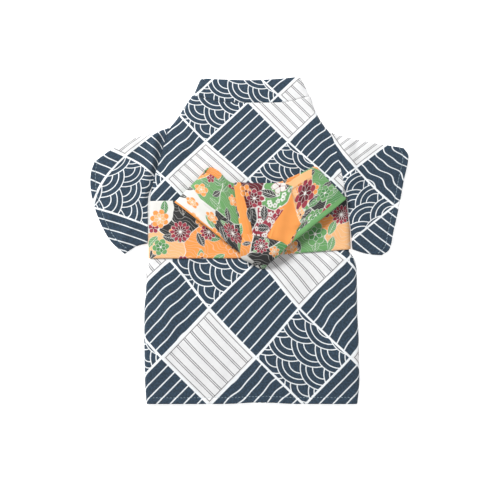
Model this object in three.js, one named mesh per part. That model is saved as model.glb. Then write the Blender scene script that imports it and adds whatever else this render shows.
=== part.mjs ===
// A small dog's kimono laid flat on its belly side, back up, with its sash and bow.
// Millimetres. X runs from the wearer's left sleeve (-X) to the right sleeve (+X), +Y runs to the neck,
// +Z runs up from the surface that the garment lies on.
import * as THREE from "three";

// Cloth and the way its layers lie on each other
const WALL = 1.2;
const SEAM_GAP = 0.3;
const LAYER = WALL + SEAM_GAP;
const FLOOR_Z = WALL / 2;
const ROLL = 3.5;

// Body lengths
const HEM_Y = -150.2;
const BACK_REST_Z = 5.6;
const BACK_HEM_Z = 4.2;
const OUTER_LAP_X = 22;
const INNER_LAP_X = -16;
const FRONT_INSET = 1.2;
const LAP_RAMP = 11;
const FRONT_EASE_X = -16;
const NECK_TOP = 130;
const NECK_RELIEF = 0.7;
const HEM_SLOPE = 45;
const HEM_DIP = 1.8;

// Where across the body the rows of its left and right side are read
const LEFT_ROWS_X = -93;
const RIGHT_ROWS_X = 92;

// Sash
const SASH_RAMP = 7;
const SASH_CLEAR = 2.5;
const SASH_LIFT = 1.7;

// Sleeves
const SLEEVE_REST_Z = 4.2;
const SLEEVE_ROLL = 2.2;

const rad = THREE.MathUtils.degToRad;
const lerp = THREE.MathUtils.lerp;
const smooth = (low, high, value) => THREE.MathUtils.smoothstep(value, low, high);
const steps = (count) => Array.from({ length: count + 1 }, (_, i) => i / count);

// Side outline of the body. seam is 1 where back and front are sewn to each other and the edge rolls down,
// and 0 along an armhole, where the back runs level into the sleeve.
const LEFT_SIDE = [
  { y: -150.2, x: -95.0, seam: 1 },
  { y: -128, x: -96.4, seam: 1 },
  { y: -92, x: -97.0, seam: 1 },
  { y: -64, x: -96.9, seam: 1 },
  { y: -45, x: -95.4, seam: 1 },
  { y: -30, x: -95.4, seam: 1 },
  { y: -23, x: -93.8, seam: 1 },
  { y: -18, x: -91.4, seam: 1 },
  { y: 9, x: -91.4, seam: 1 },
  { y: 41, x: -91.4, seam: 1 },
  { y: 47, x: -90.2, seam: 0 },
  { y: 65, x: -85.6, seam: 0 },
  { y: 83, x: -80.0, seam: 0 },
  { y: 97, x: -76.2, seam: 0 },
  { y: 103, x: -73.4, seam: 0 },
  { y: 107, x: -69.8, seam: 1 },
  { y: 111, x: -66.4, seam: 1 },
  { y: 118, x: -61.6, seam: 1 },
  { y: 130, x: -52.8, seam: 1 },
];
const RIGHT_SIDE = [
  { y: -150.2, x: 98.6, seam: 1 },
  { y: -128, x: 100.4, seam: 1 },
  { y: -92, x: 99.8, seam: 1 },
  { y: -64, x: 98.4, seam: 1 },
  { y: -45, x: 98.2, seam: 1 },
  { y: -27, x: 97.8, seam: 1 },
  { y: -20, x: 96.6, seam: 1 },
  { y: -14, x: 93.8, seam: 1 },
  { y: -10, x: 90.7, seam: 1 },
  { y: 10, x: 90.0, seam: 1 },
  { y: 22, x: 88.2, seam: 1 },
  { y: 44, x: 86.7, seam: 1 },
  { y: 50, x: 86.4, seam: 0 },
  { y: 68, x: 82.6, seam: 0 },
  { y: 84, x: 79.0, seam: 0 },
  { y: 94, x: 75.8, seam: 0 },
  { y: 99.5, x: 72.6, seam: 0 },
  { y: 103.5, x: 69.2, seam: 1 },
  { y: 107, x: 66.4, seam: 1 },
  { y: 116, x: 60.6, seam: 1 },
  { y: 130, x: 55.4, seam: 1 },
];

// Edges of the sash, across the body
const SASH_EDGES = [
  { x: -93, bottom: -16.1, top: 35.8 },
  { x: -11, bottom: -15.8, top: 37.6 },
  { x: 29, bottom: -12.4, top: 38.8 },
  { x: 92, bottom: -7.6, top: 40.3 },
];

// Neck seam of the back and the free upper edge of the collar, across the body
const NECK_EDGES = [
  { x: -51, seam: 133.9 },
  { x: -28, seam: 128.3 },
  { x: -4, seam: 127.0 },
  { x: 30, seam: 127.4 },
  { x: 54, seam: 132.9 },
];
const COLLAR_TOP = [
  { x: -45.1, y: 148.9 },
  { x: -23, y: 147.8 },
  { x: 0, y: 147.2 },
  { x: 23, y: 148.2 },
  { x: 46, y: 150.4 },
];

// Soft folds, as ridges (height above 0) and troughs (below 0) between two points
const BACK_FOLDS = [
  { x0: -72, y0: -24, x1: -82, y1: -118, width: 9, height: 1.5 },
  { x0: -52, y0: -22, x1: -58, y1: -84, width: 8, height: -0.9 },
  { x0: 74, y0: -20, x1: 86, y1: -124, width: 9, height: 1.7 },
  { x0: 54, y0: -18, x1: 62, y1: -96, width: 9, height: -0.9 },
  { x0: 4, y0: -34, x1: 10, y1: -149, width: 13, height: 1.1 },
  { x0: -40, y0: -112, x1: -44, y1: -149, width: 11, height: -0.7 },
  { x0: 58, y0: -118, x1: 60, y1: -149, width: 10, height: -0.8 },
  { x0: -54, y0: 108, x1: -76, y1: 52, width: 6, height: 1.3 },
  { x0: 58, y0: 106, x1: 76, y1: 52, width: 6, height: 1.4 },
  { x0: 34, y0: 118, x1: 52, y1: 62, width: 8, height: -0.6 },
];
const LEFT_SLEEVE_FOLDS = [
  { x0: -88, y0: 101, x1: -88, y1: 66, width: 6.5, height: 5.0 },
  { x0: -88, y0: 66, x1: -100, y1: 38, width: 7, height: 2.6 },
  { x0: -100, y0: 84, x1: -122, y1: 66, width: 5, height: -1.1 },
  { x0: -118, y0: 60, x1: -128, y1: 22, width: 7, height: 1.6 },
  { x0: -104, y0: 24, x1: -118, y1: 0, width: 5.5, height: 2.0 },
];
const RIGHT_SLEEVE_FOLDS = [
  { x0: 90, y0: 88, x1: 96, y1: 56, width: 6, height: 2.6 },
  { x0: 96, y0: 56, x1: 104, y1: 18, width: 7, height: 1.6 },
  { x0: 108, y0: 84, x1: 128, y1: 62, width: 7, height: 1.8 },
  { x0: 104, y0: 10, x1: 122, y1: -4, width: 5, height: 1.9 },
  { x0: 116, y0: 44, x1: 130, y1: 30, width: 7, height: -0.9 },
];

// Sleeve ends, from the underarm to the shoulder fold
const LEFT_SLEEVE = {
  folds: LEFT_SLEEVE_FOLDS,
  armhole: [
    { x: -94.6, y: -2.3 },
    { x: -94.6, y: 18 },
    { x: -94.6, y: 34 },
    { x: -93.6, y: 43 },
    { x: -91.2, y: 49 },
    { x: -86.5, y: 65 },
    { x: -80.9, y: 83 },
    { x: -77.2, y: 96.8 },
    { x: -74.6, y: 103.4 },
  ],
  cuff: [
    { x: -115.4, y: -11.8 },
    { x: -128.4, y: 0.4 },
    { x: -140.3, y: 23.5 },
    { x: -146.1, y: 45.5 },
    { x: -146.1, y: 63 },
    { x: -143, y: 72.2 },
  ],
  shoulderRise: 5.6,
  shoulderPeak: 0.58,
  underarmRise: 2.0,
};
const RIGHT_SLEEVE = {
  folds: RIGHT_SLEEVE_FOLDS,
  armhole: [
    { x: 94.8, y: -7.6 },
    { x: 93.2, y: 11 },
    { x: 91.4, y: 24 },
    { x: 89.8, y: 40 },
    { x: 87.2, y: 50 },
    { x: 83.2, y: 68 },
    { x: 79.6, y: 84 },
    { x: 76.4, y: 94.2 },
    { x: 74.0, y: 99.2 },
  ],
  cuff: [
    { x: 121.6, y: -13.0 },
    { x: 127.6, y: -8.4 },
    { x: 132.0, y: 9.7 },
    { x: 137.1, y: 32.7 },
    { x: 141.3, y: 55.7 },
    { x: 145.0, y: 72.5 },
    { x: 145.2, y: 79.3 },
    { x: 141.4, y: 84.8 },
  ],
  shoulderRise: -1.2,
  shoulderPeak: 0.4,
  underarmRise: -1.5,
};

// The bow is one ribbon sewn into a loop. Each row is a line across the ribbon, from its lower edge to its
// upper edge: over the front from the left end to the right end, then back underneath.
const BOW_ROWS = [
  { low: [-68.6, 35.0, 12.2], top: [-42.0, 61.6, 12.4] },
  { low: [-63, 31.0, 14.0], top: [-39.5, 61.4, 14.6] },
  { low: [-50, 20.9, 14.6], top: [-33.5, 58.6, 15.6] },
  { low: [-34, 8.5, 14.2], top: [-25.5, 52.6, 15.4] },
  { low: [-18, -4.2, 12.8], top: [-18, 47.5, 14.4] },
  { low: [-6.5, -12.4, 11.6], top: [-11.5, 45.5, 13.2] },
  { low: [-1.2, -13.4, 12.2], top: [-5.8, 46.8, 14.3] },
  { low: [-5.6, -12.8, 13.7], top: [-12.2, 50.6, 16.2] },
  { low: [-5.2, -12.6, 15.1], top: [-14.2, 52.3, 18.4] },
  { low: [-1.2, -13.0, 15.6], top: [-8.6, 52.6, 18.8] },
  { low: [5, -13.6, 15.4], top: [2, 52.2, 16.4] },
  { low: [12, -13.6, 15.4], top: [16, 52.0, 16.6] },
  { low: [19, -13.0, 15.2], top: [28, 52.2, 17.2] },
  { low: [24, -11.4, 14.6], top: [35, 52.8, 16.6] },
  { low: [31, -7.0, 14.6], top: [41, 56.6, 16.2] },
  { low: [45, 3.4, 15.4], top: [49, 61.6, 16.6] },
  { low: [62, 17.2, 15.8], top: [55.5, 64.6, 16.2] },
  { low: [79, 31.0, 15.2], top: [59.6, 65.6, 15.0] },
  { low: [87.6, 38.4, 12.8], top: [62.2, 64.8, 12.8] },
  { low: [78, 31.0, 9.6], top: [58.6, 67.4, 9.8] },
  { low: [45, 4.6, 8.9], top: [44, 60.6, 9.2] },
  { low: [12, -12.8, 8.8], top: [14, 49.4, 8.9] },
  { low: [-22, 0.2, 8.9], top: [-16, 52.4, 9.0] },
  { low: [-48, 20.4, 9.2], top: [-29, 63.4, 9.5] },
  { low: [-63, 31.6, 9.8], top: [-37.4, 66.8, 10.0] },
];
const BOW_FRONT_ROWS = 17;
const BOW_CROWN = 1.4;

// The knot's cloth, from where it comes up over the ribbon to its hanging tip
const KNOT_ROWS = [
  { left: [-5.6, 6.0, 19.4], middle: [12, 2.6, 19.0], right: [29.6, -1.6, 17.4] },
  { left: [-7.4, -1.0, 19.2], middle: [12, -4.0, 20.2], right: [33.6, -5.0, 17.4] },
  { left: [-8.6, -8.6, 18.0], middle: [12, -11.6, 19.6], right: [31.0, -8.4, 17.3] },
  { left: [-8.0, -15.6, 14.9], middle: [11.4, -17.8, 16.4], right: [24.0, -15.2, 15.6] },
  { left: [0.6, -20.2, 10.6], middle: [11.0, -21.8, 11.8], right: [17.6, -20.4, 11.2] },
  { left: [7.4, -24.6, 7.5], middle: [11.0, -25.6, 7.7], right: [13.8, -24.8, 7.5] },
];

// Value of one column of a table at a place along another, with a curve that never overshoots its rows.
function read(rows, column, along, at) {
  const last = rows.length - 1;
  const place = THREE.MathUtils.clamp(at, rows[0][along], rows[last][along]);
  const slope = (i) => (rows[i + 1][column] - rows[i][column]) / (rows[i + 1][along] - rows[i][along]);
  const tangent = (i) => {
    if (i === 0) return slope(0);
    if (i === last) return slope(last - 1);
    const before = slope(i - 1);
    const after = slope(i);
    return before * after <= 0 ? 0 : (2 * before * after) / (before + after);
  };
  let i = 0;
  while (i < last - 1 && place > rows[i + 1][along]) i += 1;
  const span = rows[i + 1][along] - rows[i][along];
  const t = (place - rows[i][along]) / span;
  const a = rows[i][column];
  const b = rows[i + 1][column];
  const bend = t * t * (3 - 2 * t);
  const leave = t * (1 - t) * (1 - t) * span * tangent(i);
  const arrive = t * t * (t - 1) * span * tangent(i + 1);
  return lerp(a, b, bend) + leave + arrive;
}

// Height that a table of soft folds adds at one place.
function foldHeight(folds, x, y) {
  return folds.reduce((sum, fold) => {
    const dx = fold.x1 - fold.x0;
    const dy = fold.y1 - fold.y0;
    const along = ((x - fold.x0) * dx + (y - fold.y0) * dy) / (dx * dx + dy * dy);
    const t = THREE.MathUtils.clamp(along, 0, 1);
    const away = Math.hypot(x - fold.x0 - t * dx, y - fold.y0 - t * dy) / fold.width;
    return sum + fold.height * Math.exp(-away * away);
  }, 0);
}

// 1 where the sash presses the layers, falling to 0 just outside its edges.
function sashPress(x, y) {
  const below = read(SASH_EDGES, "bottom", "x", x) - SASH_CLEAR;
  const above = read(SASH_EDGES, "top", "x", x) + SASH_CLEAR;
  return smooth(below - SASH_RAMP, below, y) * (1 - smooth(above, above + SASH_RAMP, y));
}

// Collar lines: where the neckband folds over at each side of the neck, and the way each arm of it runs
// down the fronts. free is the edge at the neck opening, sewn is the edge on the body.
function collarSide(free, sewn, across) {
  const fold = new THREE.Vector2().subVectors(sewn, free).normalize();
  const away = new THREE.Vector2(across, 0);
  const arm = fold.clone().multiplyScalar(2 * fold.dot(away)).sub(away);
  const outward = new THREE.Vector2(-fold.y, fold.x).multiplyScalar(Math.sign(across * -fold.y));
  return { free, sewn, arm, outward };
}
const LEFT_NECK = collarSide(new THREE.Vector2(-45.1, 148.9), new THREE.Vector2(-51.1, 134.3), -1);
const RIGHT_NECK = collarSide(new THREE.Vector2(46.0, 150.4), new THREE.Vector2(54.3, 133.4), 1);

// Where an edge of the collar meets the surface after its fold.
const COLLAR_FOLD_RADIUS = (BACK_REST_Z - FLOOR_Z) / 2;
const armStart = (neck, edge) => edge.clone().addScaledVector(neck.outward, -COLLAR_FOLD_RADIUS);

// Height of the outer (left) front's middle, which lies on the surface and over the sash's underside.
const outerFrontZ = (x, y) => FLOOR_Z + LAYER * sashPress(x, y);

// How far inside the outer collar's edge the inner front starts to rise over it, and is fully over it
const LAP_FROM = -14;
const LAP_FULL = -6;

// 1 where the inner (right) front and its collar arm lie over the outer ones.
function lapZone(x, y) {
  const { free, arm } = LEFT_NECK;
  const edgeY = free.y + ((x - free.x) * arm.y) / arm.x;
  const inside = (edgeY - y) * arm.x;
  return smooth(LAP_FROM, LAP_FULL, inside) * (1 - smooth(OUTER_LAP_X + 3, OUTER_LAP_X + LAP_RAMP, x));
}
const innerFrontZ = (x, y) => outerFrontZ(x, y) + LAYER * lapZone(x, y);

// Height of the back panel's middle away from its rolled edges.
function backZ(x, y) {
  const free = 1 - sashPress(x, y);
  const rest = lerp(BACK_HEM_Z, BACK_REST_Z, smooth(HEM_Y, HEM_Y + HEM_SLOPE, y));
  return rest + free * foldHeight(BACK_FOLDS, x, y);
}

// Height of the seam where back meets front along a rolled edge.
const seamZ = (x, y) => WALL + SEAM_GAP + LAYER * sashPress(x, y);

// Heights up the body of its rows, at one place across it. Rows keep along the sash's slanted edges.
const ROW_BANDS = [13, 2, 6, 2, 14];
function bodyRows(x, hemY, neckY) {
  const below = read(SASH_EDGES, "bottom", "x", x) - SASH_CLEAR;
  const above = read(SASH_EDGES, "top", "x", x) + SASH_CLEAR;
  const marks = [hemY, below - SASH_RAMP, below, above, above + SASH_RAMP, neckY];
  const band = (count, k) => steps(count).slice(1).map((t) => lerp(marks[k], marks[k + 1], t));
  return [hemY, ...ROW_BANDS.flatMap(band)];
}
const ROW_COUNT = ROW_BANDS.reduce((sum, count) => sum + count, 0);

// Turns a grid of middle points into a cloth wall. around joins each row's last point to its first.
function clothWall(name, grid, material, { around = false, wall = WALL } = {}) {
  const rows = grid.length;
  const columns = grid[0].length;
  const at = (i, j) => grid[i][around ? (j + columns) % columns : j];
  const normal = (i, j) => {
    const up = new THREE.Vector3().subVectors(grid[Math.min(i + 1, rows - 1)][j], grid[Math.max(i - 1, 0)][j]);
    const right = around ? at(i, j + 1) : grid[i][Math.min(j + 1, columns - 1)];
    const left = around ? at(i, j - 1) : grid[i][Math.max(j - 1, 0)];
    return new THREE.Vector3().subVectors(right, left).cross(up).normalize();
  };
  const points = [];
  for (const side of [0.5, -0.5])
    for (let i = 0; i < rows; i += 1)
      for (let j = 0; j < columns; j += 1)
        points.push(grid[i][j].clone().addScaledVector(normal(i, j), side * wall));
  const outer = (i, j) => i * columns + (j % columns);
  const inner = (i, j) => rows * columns + outer(i, j);
  const faces = [];
  const quad = (a, b, c, d) => faces.push(a, b, c, a, c, d);
  const spans = around ? columns : columns - 1;
  for (let i = 0; i < rows - 1; i += 1)
    for (let j = 0; j < spans; j += 1) {
      quad(outer(i, j), outer(i, j + 1), outer(i + 1, j + 1), outer(i + 1, j));
      quad(inner(i, j), inner(i + 1, j), inner(i + 1, j + 1), inner(i, j + 1));
    }
  for (let j = 0; j < spans; j += 1) {
    quad(inner(0, j), inner(0, j + 1), outer(0, j + 1), outer(0, j));
    quad(outer(rows - 1, j), outer(rows - 1, j + 1), inner(rows - 1, j + 1), inner(rows - 1, j));
  }
  if (!around)
    for (let i = 0; i < rows - 1; i += 1) {
      quad(outer(i, 0), outer(i + 1, 0), inner(i + 1, 0), inner(i, 0));
      quad(inner(i, columns - 1), inner(i + 1, columns - 1), outer(i + 1, columns - 1), outer(i, columns - 1));
    }
  const geometry = new THREE.BufferGeometry().setFromPoints(points);
  geometry.setIndex(faces);
  geometry.computeVertexNormals();
  const mesh = new THREE.Mesh(geometry, material);
  mesh.name = name;
  return mesh;
}

// A curve through flat points, read by its share from 0 to 1.
function planCurve(points) {
  const flat = points.map((p) => new THREE.Vector3(p.x, p.y, 0));
  const curve = new THREE.CatmullRomCurve3(flat, false, "centripetal");
  return (share) => curve.getPoint(share);
}

// The back: one panel from neck to hem, its sides rolled down to the fronts.
function makeBack(material) {
  const inside = 20;
  const roll = [0, 30, 60, 90].map((angle) => rad(angle));
  const leftRows = bodyRows(LEFT_ROWS_X, HEM_Y, NECK_TOP);
  const rightRows = bodyRows(RIGHT_ROWS_X, HEM_Y, NECK_TOP);
  const grid = leftRows.map((leftY, i) => {
    const left = read(LEFT_SIDE, "x", "y", leftY);
    const right = read(RIGHT_SIDE, "x", "y", rightRows[i]);
    const rowY = (x) => bodyRows(x, HEM_Y, NECK_TOP)[i];
    const settle = (x) => {
      const y = rowY(x);
      const neckline = read(NECK_EDGES, "seam", "x", x) - 2 * SEAM_GAP;
      const neck = smooth(95, NECK_TOP, y) * (neckline - NECK_TOP);
      const hem = HEM_DIP * Math.exp(-(((x - 10) / 20) ** 2)) * (1 - smooth(HEM_Y, HEM_Y + 20, y));
      return y + neck + hem;
    };
    const rolled = (x, away, seam) => (angle) => {
      const y = rowY(x);
      const top = backZ(x + away * ROLL, y);
      const px = x + away * ROLL * (1 - Math.cos(angle));
      const drop = seam * (top - seamZ(x, y)) * (1 - Math.sin(angle));
      return new THREE.Vector3(px, settle(px), top - drop);
    };
    const leftRoll = roll.map(rolled(left, 1, read(LEFT_SIDE, "seam", "y", leftY)));
    const rightRoll = roll.map(rolled(right, -1, read(RIGHT_SIDE, "seam", "y", rightRows[i]))).reverse();
    const middle = steps(inside).slice(1, -1).map((u) => {
      const x = lerp(left + ROLL, right - ROLL, u);
      return new THREE.Vector3(x, settle(x), backZ(x, rowY(x)));
    });
    return [...leftRoll, ...middle, ...rightRoll];
  });
  return clothWall("back_panel", grid, material);
}

// A front: from its side seam to its lapped edge, with the neckline cut off along the collar arm.
function makeFront(name, front, material) {
  const { table, neck, height, lapX, ramp, toCentre } = front;
  const start = armStart(neck, neck.sewn);
  const neckTop = start.y - 4;
  const hemY = HEM_Y + 1;
  const rowsAt = (x) => bodyRows(x, hemY, neckTop);
  const neckX = (y) => start.x + ((y - start.y) * neck.arm.x) / neck.arm.y - toCentre * NECK_RELIEF;
  const grid = steps(ROW_COUNT).map((_, i) => {
    const sideX = read(table, "x", "y", rowsAt(toCentre * LEFT_ROWS_X)[i]) + toCentre * FRONT_INSET;
    let edgeX = lapX;
    for (let pass = 0; pass < 4; pass += 1) {
      const cut = neckX(rowsAt(edgeX)[i]);
      edgeX = toCentre > 0 ? Math.min(lapX, cut) : Math.max(lapX, cut);
    }
    const wide = lerp(sideX, edgeX, 0.6);
    const rampX = toCentre > 0 ? Math.min(ramp, wide) : Math.max(ramp, wide);
    const outer = steps(4).slice(0, -1).map((u) => lerp(sideX, rampX, u));
    const columns = [...outer, ...steps(5).map((u) => lerp(rampX, edgeX, u))];
    return columns.map((x) => {
      const y = rowsAt(x)[i];
      return new THREE.Vector3(x, y, height(x, y));
    });
  });
  return clothWall(name, toCentre > 0 ? grid : grid.map((row) => row.reverse()), material);
}
const OUTER_FRONT = {
  table: LEFT_SIDE,
  neck: LEFT_NECK,
  height: outerFrontZ,
  lapX: OUTER_LAP_X,
  ramp: FRONT_EASE_X,
  toCentre: 1,
};
const INNER_FRONT = {
  table: RIGHT_SIDE,
  neck: RIGHT_NECK,
  height: innerFrontZ,
  lapX: INNER_LAP_X,
  ramp: OUTER_LAP_X + LAP_RAMP,
  toCentre: -1,
};

// The neckband: up one front, folded at the side of the neck, across the back and down the other front.
function makeCollar(material) {
  const across = 5;
  const foldAngles = [90, 60, 30, 0, -30, -60, -90].map((angle) => rad(angle));
  const armStations = 13;
  const backStations = 14;
  const line = (free, sewn, height) =>
    steps(across).map((u) => {
      const p = new THREE.Vector2().lerpVectors(sewn, free, u);
      return new THREE.Vector3(p.x, p.y, height(p.x, p.y));
    });
  const foldLines = (neck) =>
    foldAngles.map((angle) => {
      const shift = neck.outward.clone().multiplyScalar(COLLAR_FOLD_RADIUS * (Math.cos(angle) - 1));
      const z = FLOOR_Z + COLLAR_FOLD_RADIUS * (1 + Math.sin(angle));
      return line(neck.free.clone().add(shift), neck.sewn.clone().add(shift), () => z);
    });
  const armLines = (neck, lapX, height) => {
    const free = armStart(neck, neck.free);
    const sewn = armStart(neck, neck.sewn);
    const run = (start, share) => {
      const length = (share * (lapX - start.x)) / neck.arm.x;
      return start.clone().addScaledVector(neck.arm, length);
    };
    return steps(armStations).slice(1).map((share) => line(run(free, share), run(sewn, share), height));
  };
  const leftFold = foldLines(LEFT_NECK);
  const rightFold = foldLines(RIGHT_NECK);
  const leftArm = armLines(LEFT_NECK, OUTER_LAP_X, outerFrontZ);
  const rightArm = armLines(RIGHT_NECK, INNER_LAP_X, innerFrontZ);
  const backLines = steps(backStations).slice(1, -1).map((t) => {
    const start = leftFold[0];
    const end = rightFold[0];
    const sewnX = lerp(start[0].x, end[0].x, t);
    const freeX = lerp(start[across].x, end[across].x, t);
    const sewn = new THREE.Vector2(sewnX, read(NECK_EDGES, "seam", "x", sewnX) + SEAM_GAP);
    const free = new THREE.Vector2(freeX, read(COLLAR_TOP, "y", "x", freeX));
    return line(free, sewn, () => BACK_REST_Z);
  });
  const grid = [...leftArm.reverse(), ...leftFold.reverse(), ...backLines, ...rightFold, ...rightArm];
  return clothWall("collar", grid, material);
}

// A sleeve: a flattened tube, folded at the shoulder and sewn along its underarm edge.
function makeSleeve(name, sleeve, material) {
  const along = 12;
  const armhole = planCurve(sleeve.armhole);
  const cuff = planCurve(sleeve.cuff);
  const plan = (w, v) => {
    const p = new THREE.Vector3().lerpVectors(armhole(w), cuff(w), v);
    const hump = Math.sin(Math.PI * v ** (Math.log(0.5) / Math.log(sleeve.shoulderPeak)));
    p.y += sleeve.shoulderRise * hump * smooth(0.55, 1, w);
    p.y += sleeve.underarmRise * Math.sin(Math.PI * v) * (1 - smooth(0, 0.3, w));
    return p;
  };
  const upperZ = (w, v) => {
    const p = plan(w, v);
    const joined = smooth(0.42, 0.5, w) * (backZ(p.x, p.y) - SLEEVE_REST_Z) * (1 - smooth(0, 0.12, v));
    const edge = smooth(0, 0.08, w) * (1 - smooth(0.93, 1, w));
    const folds = foldHeight(sleeve.folds, p.x, p.y) * smooth(0, 0.1, v);
    return SLEEVE_REST_Z + joined + lerp(0.35, 1, edge) * folds;
  };
  const rounds = [-60, -30, 0, 30, 60].map((angle) => rad(angle));
  const outward = name.endsWith("left") ? 1 : -1;
  const grid = steps(along).map((v) => {
    const width = plan(0, v).distanceTo(plan(1, v));
    const inset = SLEEVE_ROLL / width;
    const point = (w, z) => plan(w, v).setZ(z);
    const lower = steps(9).map((s) => point(lerp(inset, 1 - inset, s), FLOOR_Z));
    const upper = steps(16).map((s) => {
      const w = lerp(1 - inset, inset, s);
      return point(w, upperZ(w, v));
    });
    const turn = (w, away, topZ, angle) => {
      const radius = (topZ - FLOOR_Z) / 2;
      return point(w + away * inset * (1 - Math.cos(angle)), FLOOR_Z + radius * (1 + Math.sin(angle)));
    };
    const shoulder = rounds.map((angle) => turn(1, -1, upperZ(1 - inset, v), angle));
    const underarm = rounds.map((angle) => turn(0, 1, upperZ(inset, v), -angle));
    const loop = [...lower, ...shoulder, ...upper, ...underarm];
    return outward > 0 ? loop : loop.reverse();
  });
  return clothWall(name, grid, material, { around: true });
}

// The sash: a flat ring round back and fronts.
function makeSash(material) {
  const acrossRows = 6;
  const grid = steps(acrossRows).map((v) => {
    const place = (x, z) => {
      const y = lerp(read(SASH_EDGES, "bottom", "x", x), read(SASH_EDGES, "top", "x", x), v);
      return new THREE.Vector3(x, y, z);
    };
    const yAt = (x) => place(x, 0).y;
    const left = read(LEFT_SIDE, "x", "y", yAt(-92));
    const right = read(RIGHT_SIDE, "x", "y", yAt(90));
    const side = (x, away) => {
      const centreX = x + away * ROLL;
      const centreZ = seamZ(0, yAt(0));
      const top = BACK_REST_Z + SASH_LIFT;
      const reach = ROLL + SASH_LIFT;
      const upperTurn = [80, 60, 40, 20, 0].map((angle) =>
        place(centreX - away * reach * Math.cos(rad(angle)), centreZ + (top - centreZ) * Math.sin(rad(angle))),
      );
      const lowerReach = centreZ - FLOOR_Z;
      const lowerX = centreX - away * (reach - lowerReach);
      const lowerTurn = [22, 45, 68].map((angle) =>
        place(lowerX - away * lowerReach * Math.cos(rad(angle)), centreZ - lowerReach * Math.sin(rad(angle))),
      );
      return [...upperTurn, ...lowerTurn];
    };
    const over = steps(26).map((u) => {
      const x = lerp(left + ROLL, right - ROLL, u);
      return place(x, BACK_REST_Z + SASH_LIFT);
    });
    const under = steps(12).map((u) => place(lerp(right - 1, left + 1, u), FLOOR_Z));
    return [...over, ...side(right, -1), ...under, ...side(left, 1).reverse()];
  });
  return clothWall("sash", grid, material, { around: true });
}

// The bow: the ribbon loop, pleated to the knot at its lower middle.
function makeBow(material) {
  const around = 66;
  const across = 7;
  const edge = (key) => {
    const points = BOW_ROWS.map((row) => new THREE.Vector3(...row[key]));
    return new THREE.CatmullRomCurve3(points, true, "catmullrom", 0.5);
  };
  const low = edge("low");
  const top = edge("top");
  const frontShare = BOW_FRONT_ROWS / BOW_ROWS.length;
  const grid = steps(across).map((u) =>
    steps(around).slice(0, -1).map((t) => {
      const p = new THREE.Vector3().lerpVectors(low.getPoint(t), top.getPoint(t), u);
      const front = t < frontShare ? Math.sin((Math.PI * t) / frontShare) : 0;
      p.z += BOW_CROWN * front * Math.sin(Math.PI * u);
      return p;
    }),
  );
  return clothWall("bow_ribbon", grid, material, { around: true });
}

// The knot that gathers the ribbon, with its hanging tip.
function makeKnot(material) {
  const curves = ["left", "middle", "right"].map(
    (key) => new THREE.CatmullRomCurve3(KNOT_ROWS.map((row) => new THREE.Vector3(...row[key]))),
  );
  const grid = steps(14).map((v) => {
    const [a, b, c] = curves.map((curve) => curve.getPoint(1 - v));
    return steps(12).map((u) => {
      const p = a.clone().multiplyScalar((1 - u) * (1 - 2 * u));
      return p.addScaledVector(b, 4 * u * (1 - u)).addScaledVector(c, u * (2 * u - 1));
    });
  });
  return clothWall("bow_knot", grid, material);
}

const kimonoCloth = new THREE.MeshStandardMaterial({ color: 0x3c5068, roughness: 0.85, metalness: 0 });
const sashCloth = new THREE.MeshStandardMaterial({ color: 0xe8893f, roughness: 0.8, metalness: 0 });

const kimono = new THREE.Group();
kimono.name = "dog_kimono";
kimono.add(
  makeBack(kimonoCloth),
  makeFront("front_left", OUTER_FRONT, kimonoCloth),
  makeFront("front_right", INNER_FRONT, kimonoCloth),
  makeCollar(kimonoCloth),
  makeSleeve("sleeve_left", LEFT_SLEEVE, kimonoCloth),
  makeSleeve("sleeve_right", RIGHT_SLEEVE, kimonoCloth),
  makeSash(sashCloth),
  makeBow(sashCloth),
  makeKnot(sashCloth),
);

export default kimono;
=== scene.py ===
"""A small dog's kimono laid flat, back up, with its print, sash, bow and sewing."""
import logging
import math
from dataclasses import dataclass, field
from enum import Enum
from functools import partial
from typing import Callable, Sequence, Union

import bpy
import numpy as np
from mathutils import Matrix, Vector


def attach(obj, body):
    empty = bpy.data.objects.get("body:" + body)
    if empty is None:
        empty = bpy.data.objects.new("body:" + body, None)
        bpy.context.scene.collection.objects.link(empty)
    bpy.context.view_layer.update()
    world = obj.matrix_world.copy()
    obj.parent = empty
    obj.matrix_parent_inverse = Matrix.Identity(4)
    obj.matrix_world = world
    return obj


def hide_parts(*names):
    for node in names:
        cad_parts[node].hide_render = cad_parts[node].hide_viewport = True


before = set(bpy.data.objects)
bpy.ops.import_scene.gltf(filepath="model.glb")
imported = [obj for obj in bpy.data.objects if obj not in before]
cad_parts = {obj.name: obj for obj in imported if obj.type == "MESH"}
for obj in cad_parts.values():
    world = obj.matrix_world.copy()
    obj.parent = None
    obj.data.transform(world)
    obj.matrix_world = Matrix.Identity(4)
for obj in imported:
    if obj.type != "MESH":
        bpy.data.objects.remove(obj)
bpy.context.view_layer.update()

log = logging.getLogger("dog_kimono")

MM = 0.001
Colour = tuple[float, float, float, float]
Stops = Sequence[tuple[float, Colour]]
Number = Union[float, np.ndarray]

# Cloth and how its layers lie, as in the frame. All sizes up to the prints are in millimetres
WALL = 1.2
SEAM_GAP = 0.3
LAYER = WALL + SEAM_GAP
FLOOR_Z = WALL / 2
ROLL = 3.5
RIM_ROUNDING = 0.42
HEM_Y = -150.2
BACK_REST_Z = 5.6
BACK_HEM_Z = 4.2
OUTER_LAP_X = 22.0
INNER_LAP_X = -16.0
FRONT_INSET = 1.2
LAP_RAMP = 11.0
FRONT_EASE_X = -16.0
SASH_RAMP = 7.0
SASH_CLEAR = 2.5
SASH_LIFT = 1.7
SLEEVE_REST_Z = 4.2
SLEEVE_ROLL = 2.2
NECK_TOP = 130.0
HEM_SLOPE = 45.0
HEM_DIP = 1.8
NECK_RELIEF = 0.7
# Where across the body the rows of its left side, its right side and its fronts are read
LEFT_ROWS_X = -93.0
RIGHT_ROWS_X = 92.0
FRONT_ROWS_X = 93.0
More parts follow.
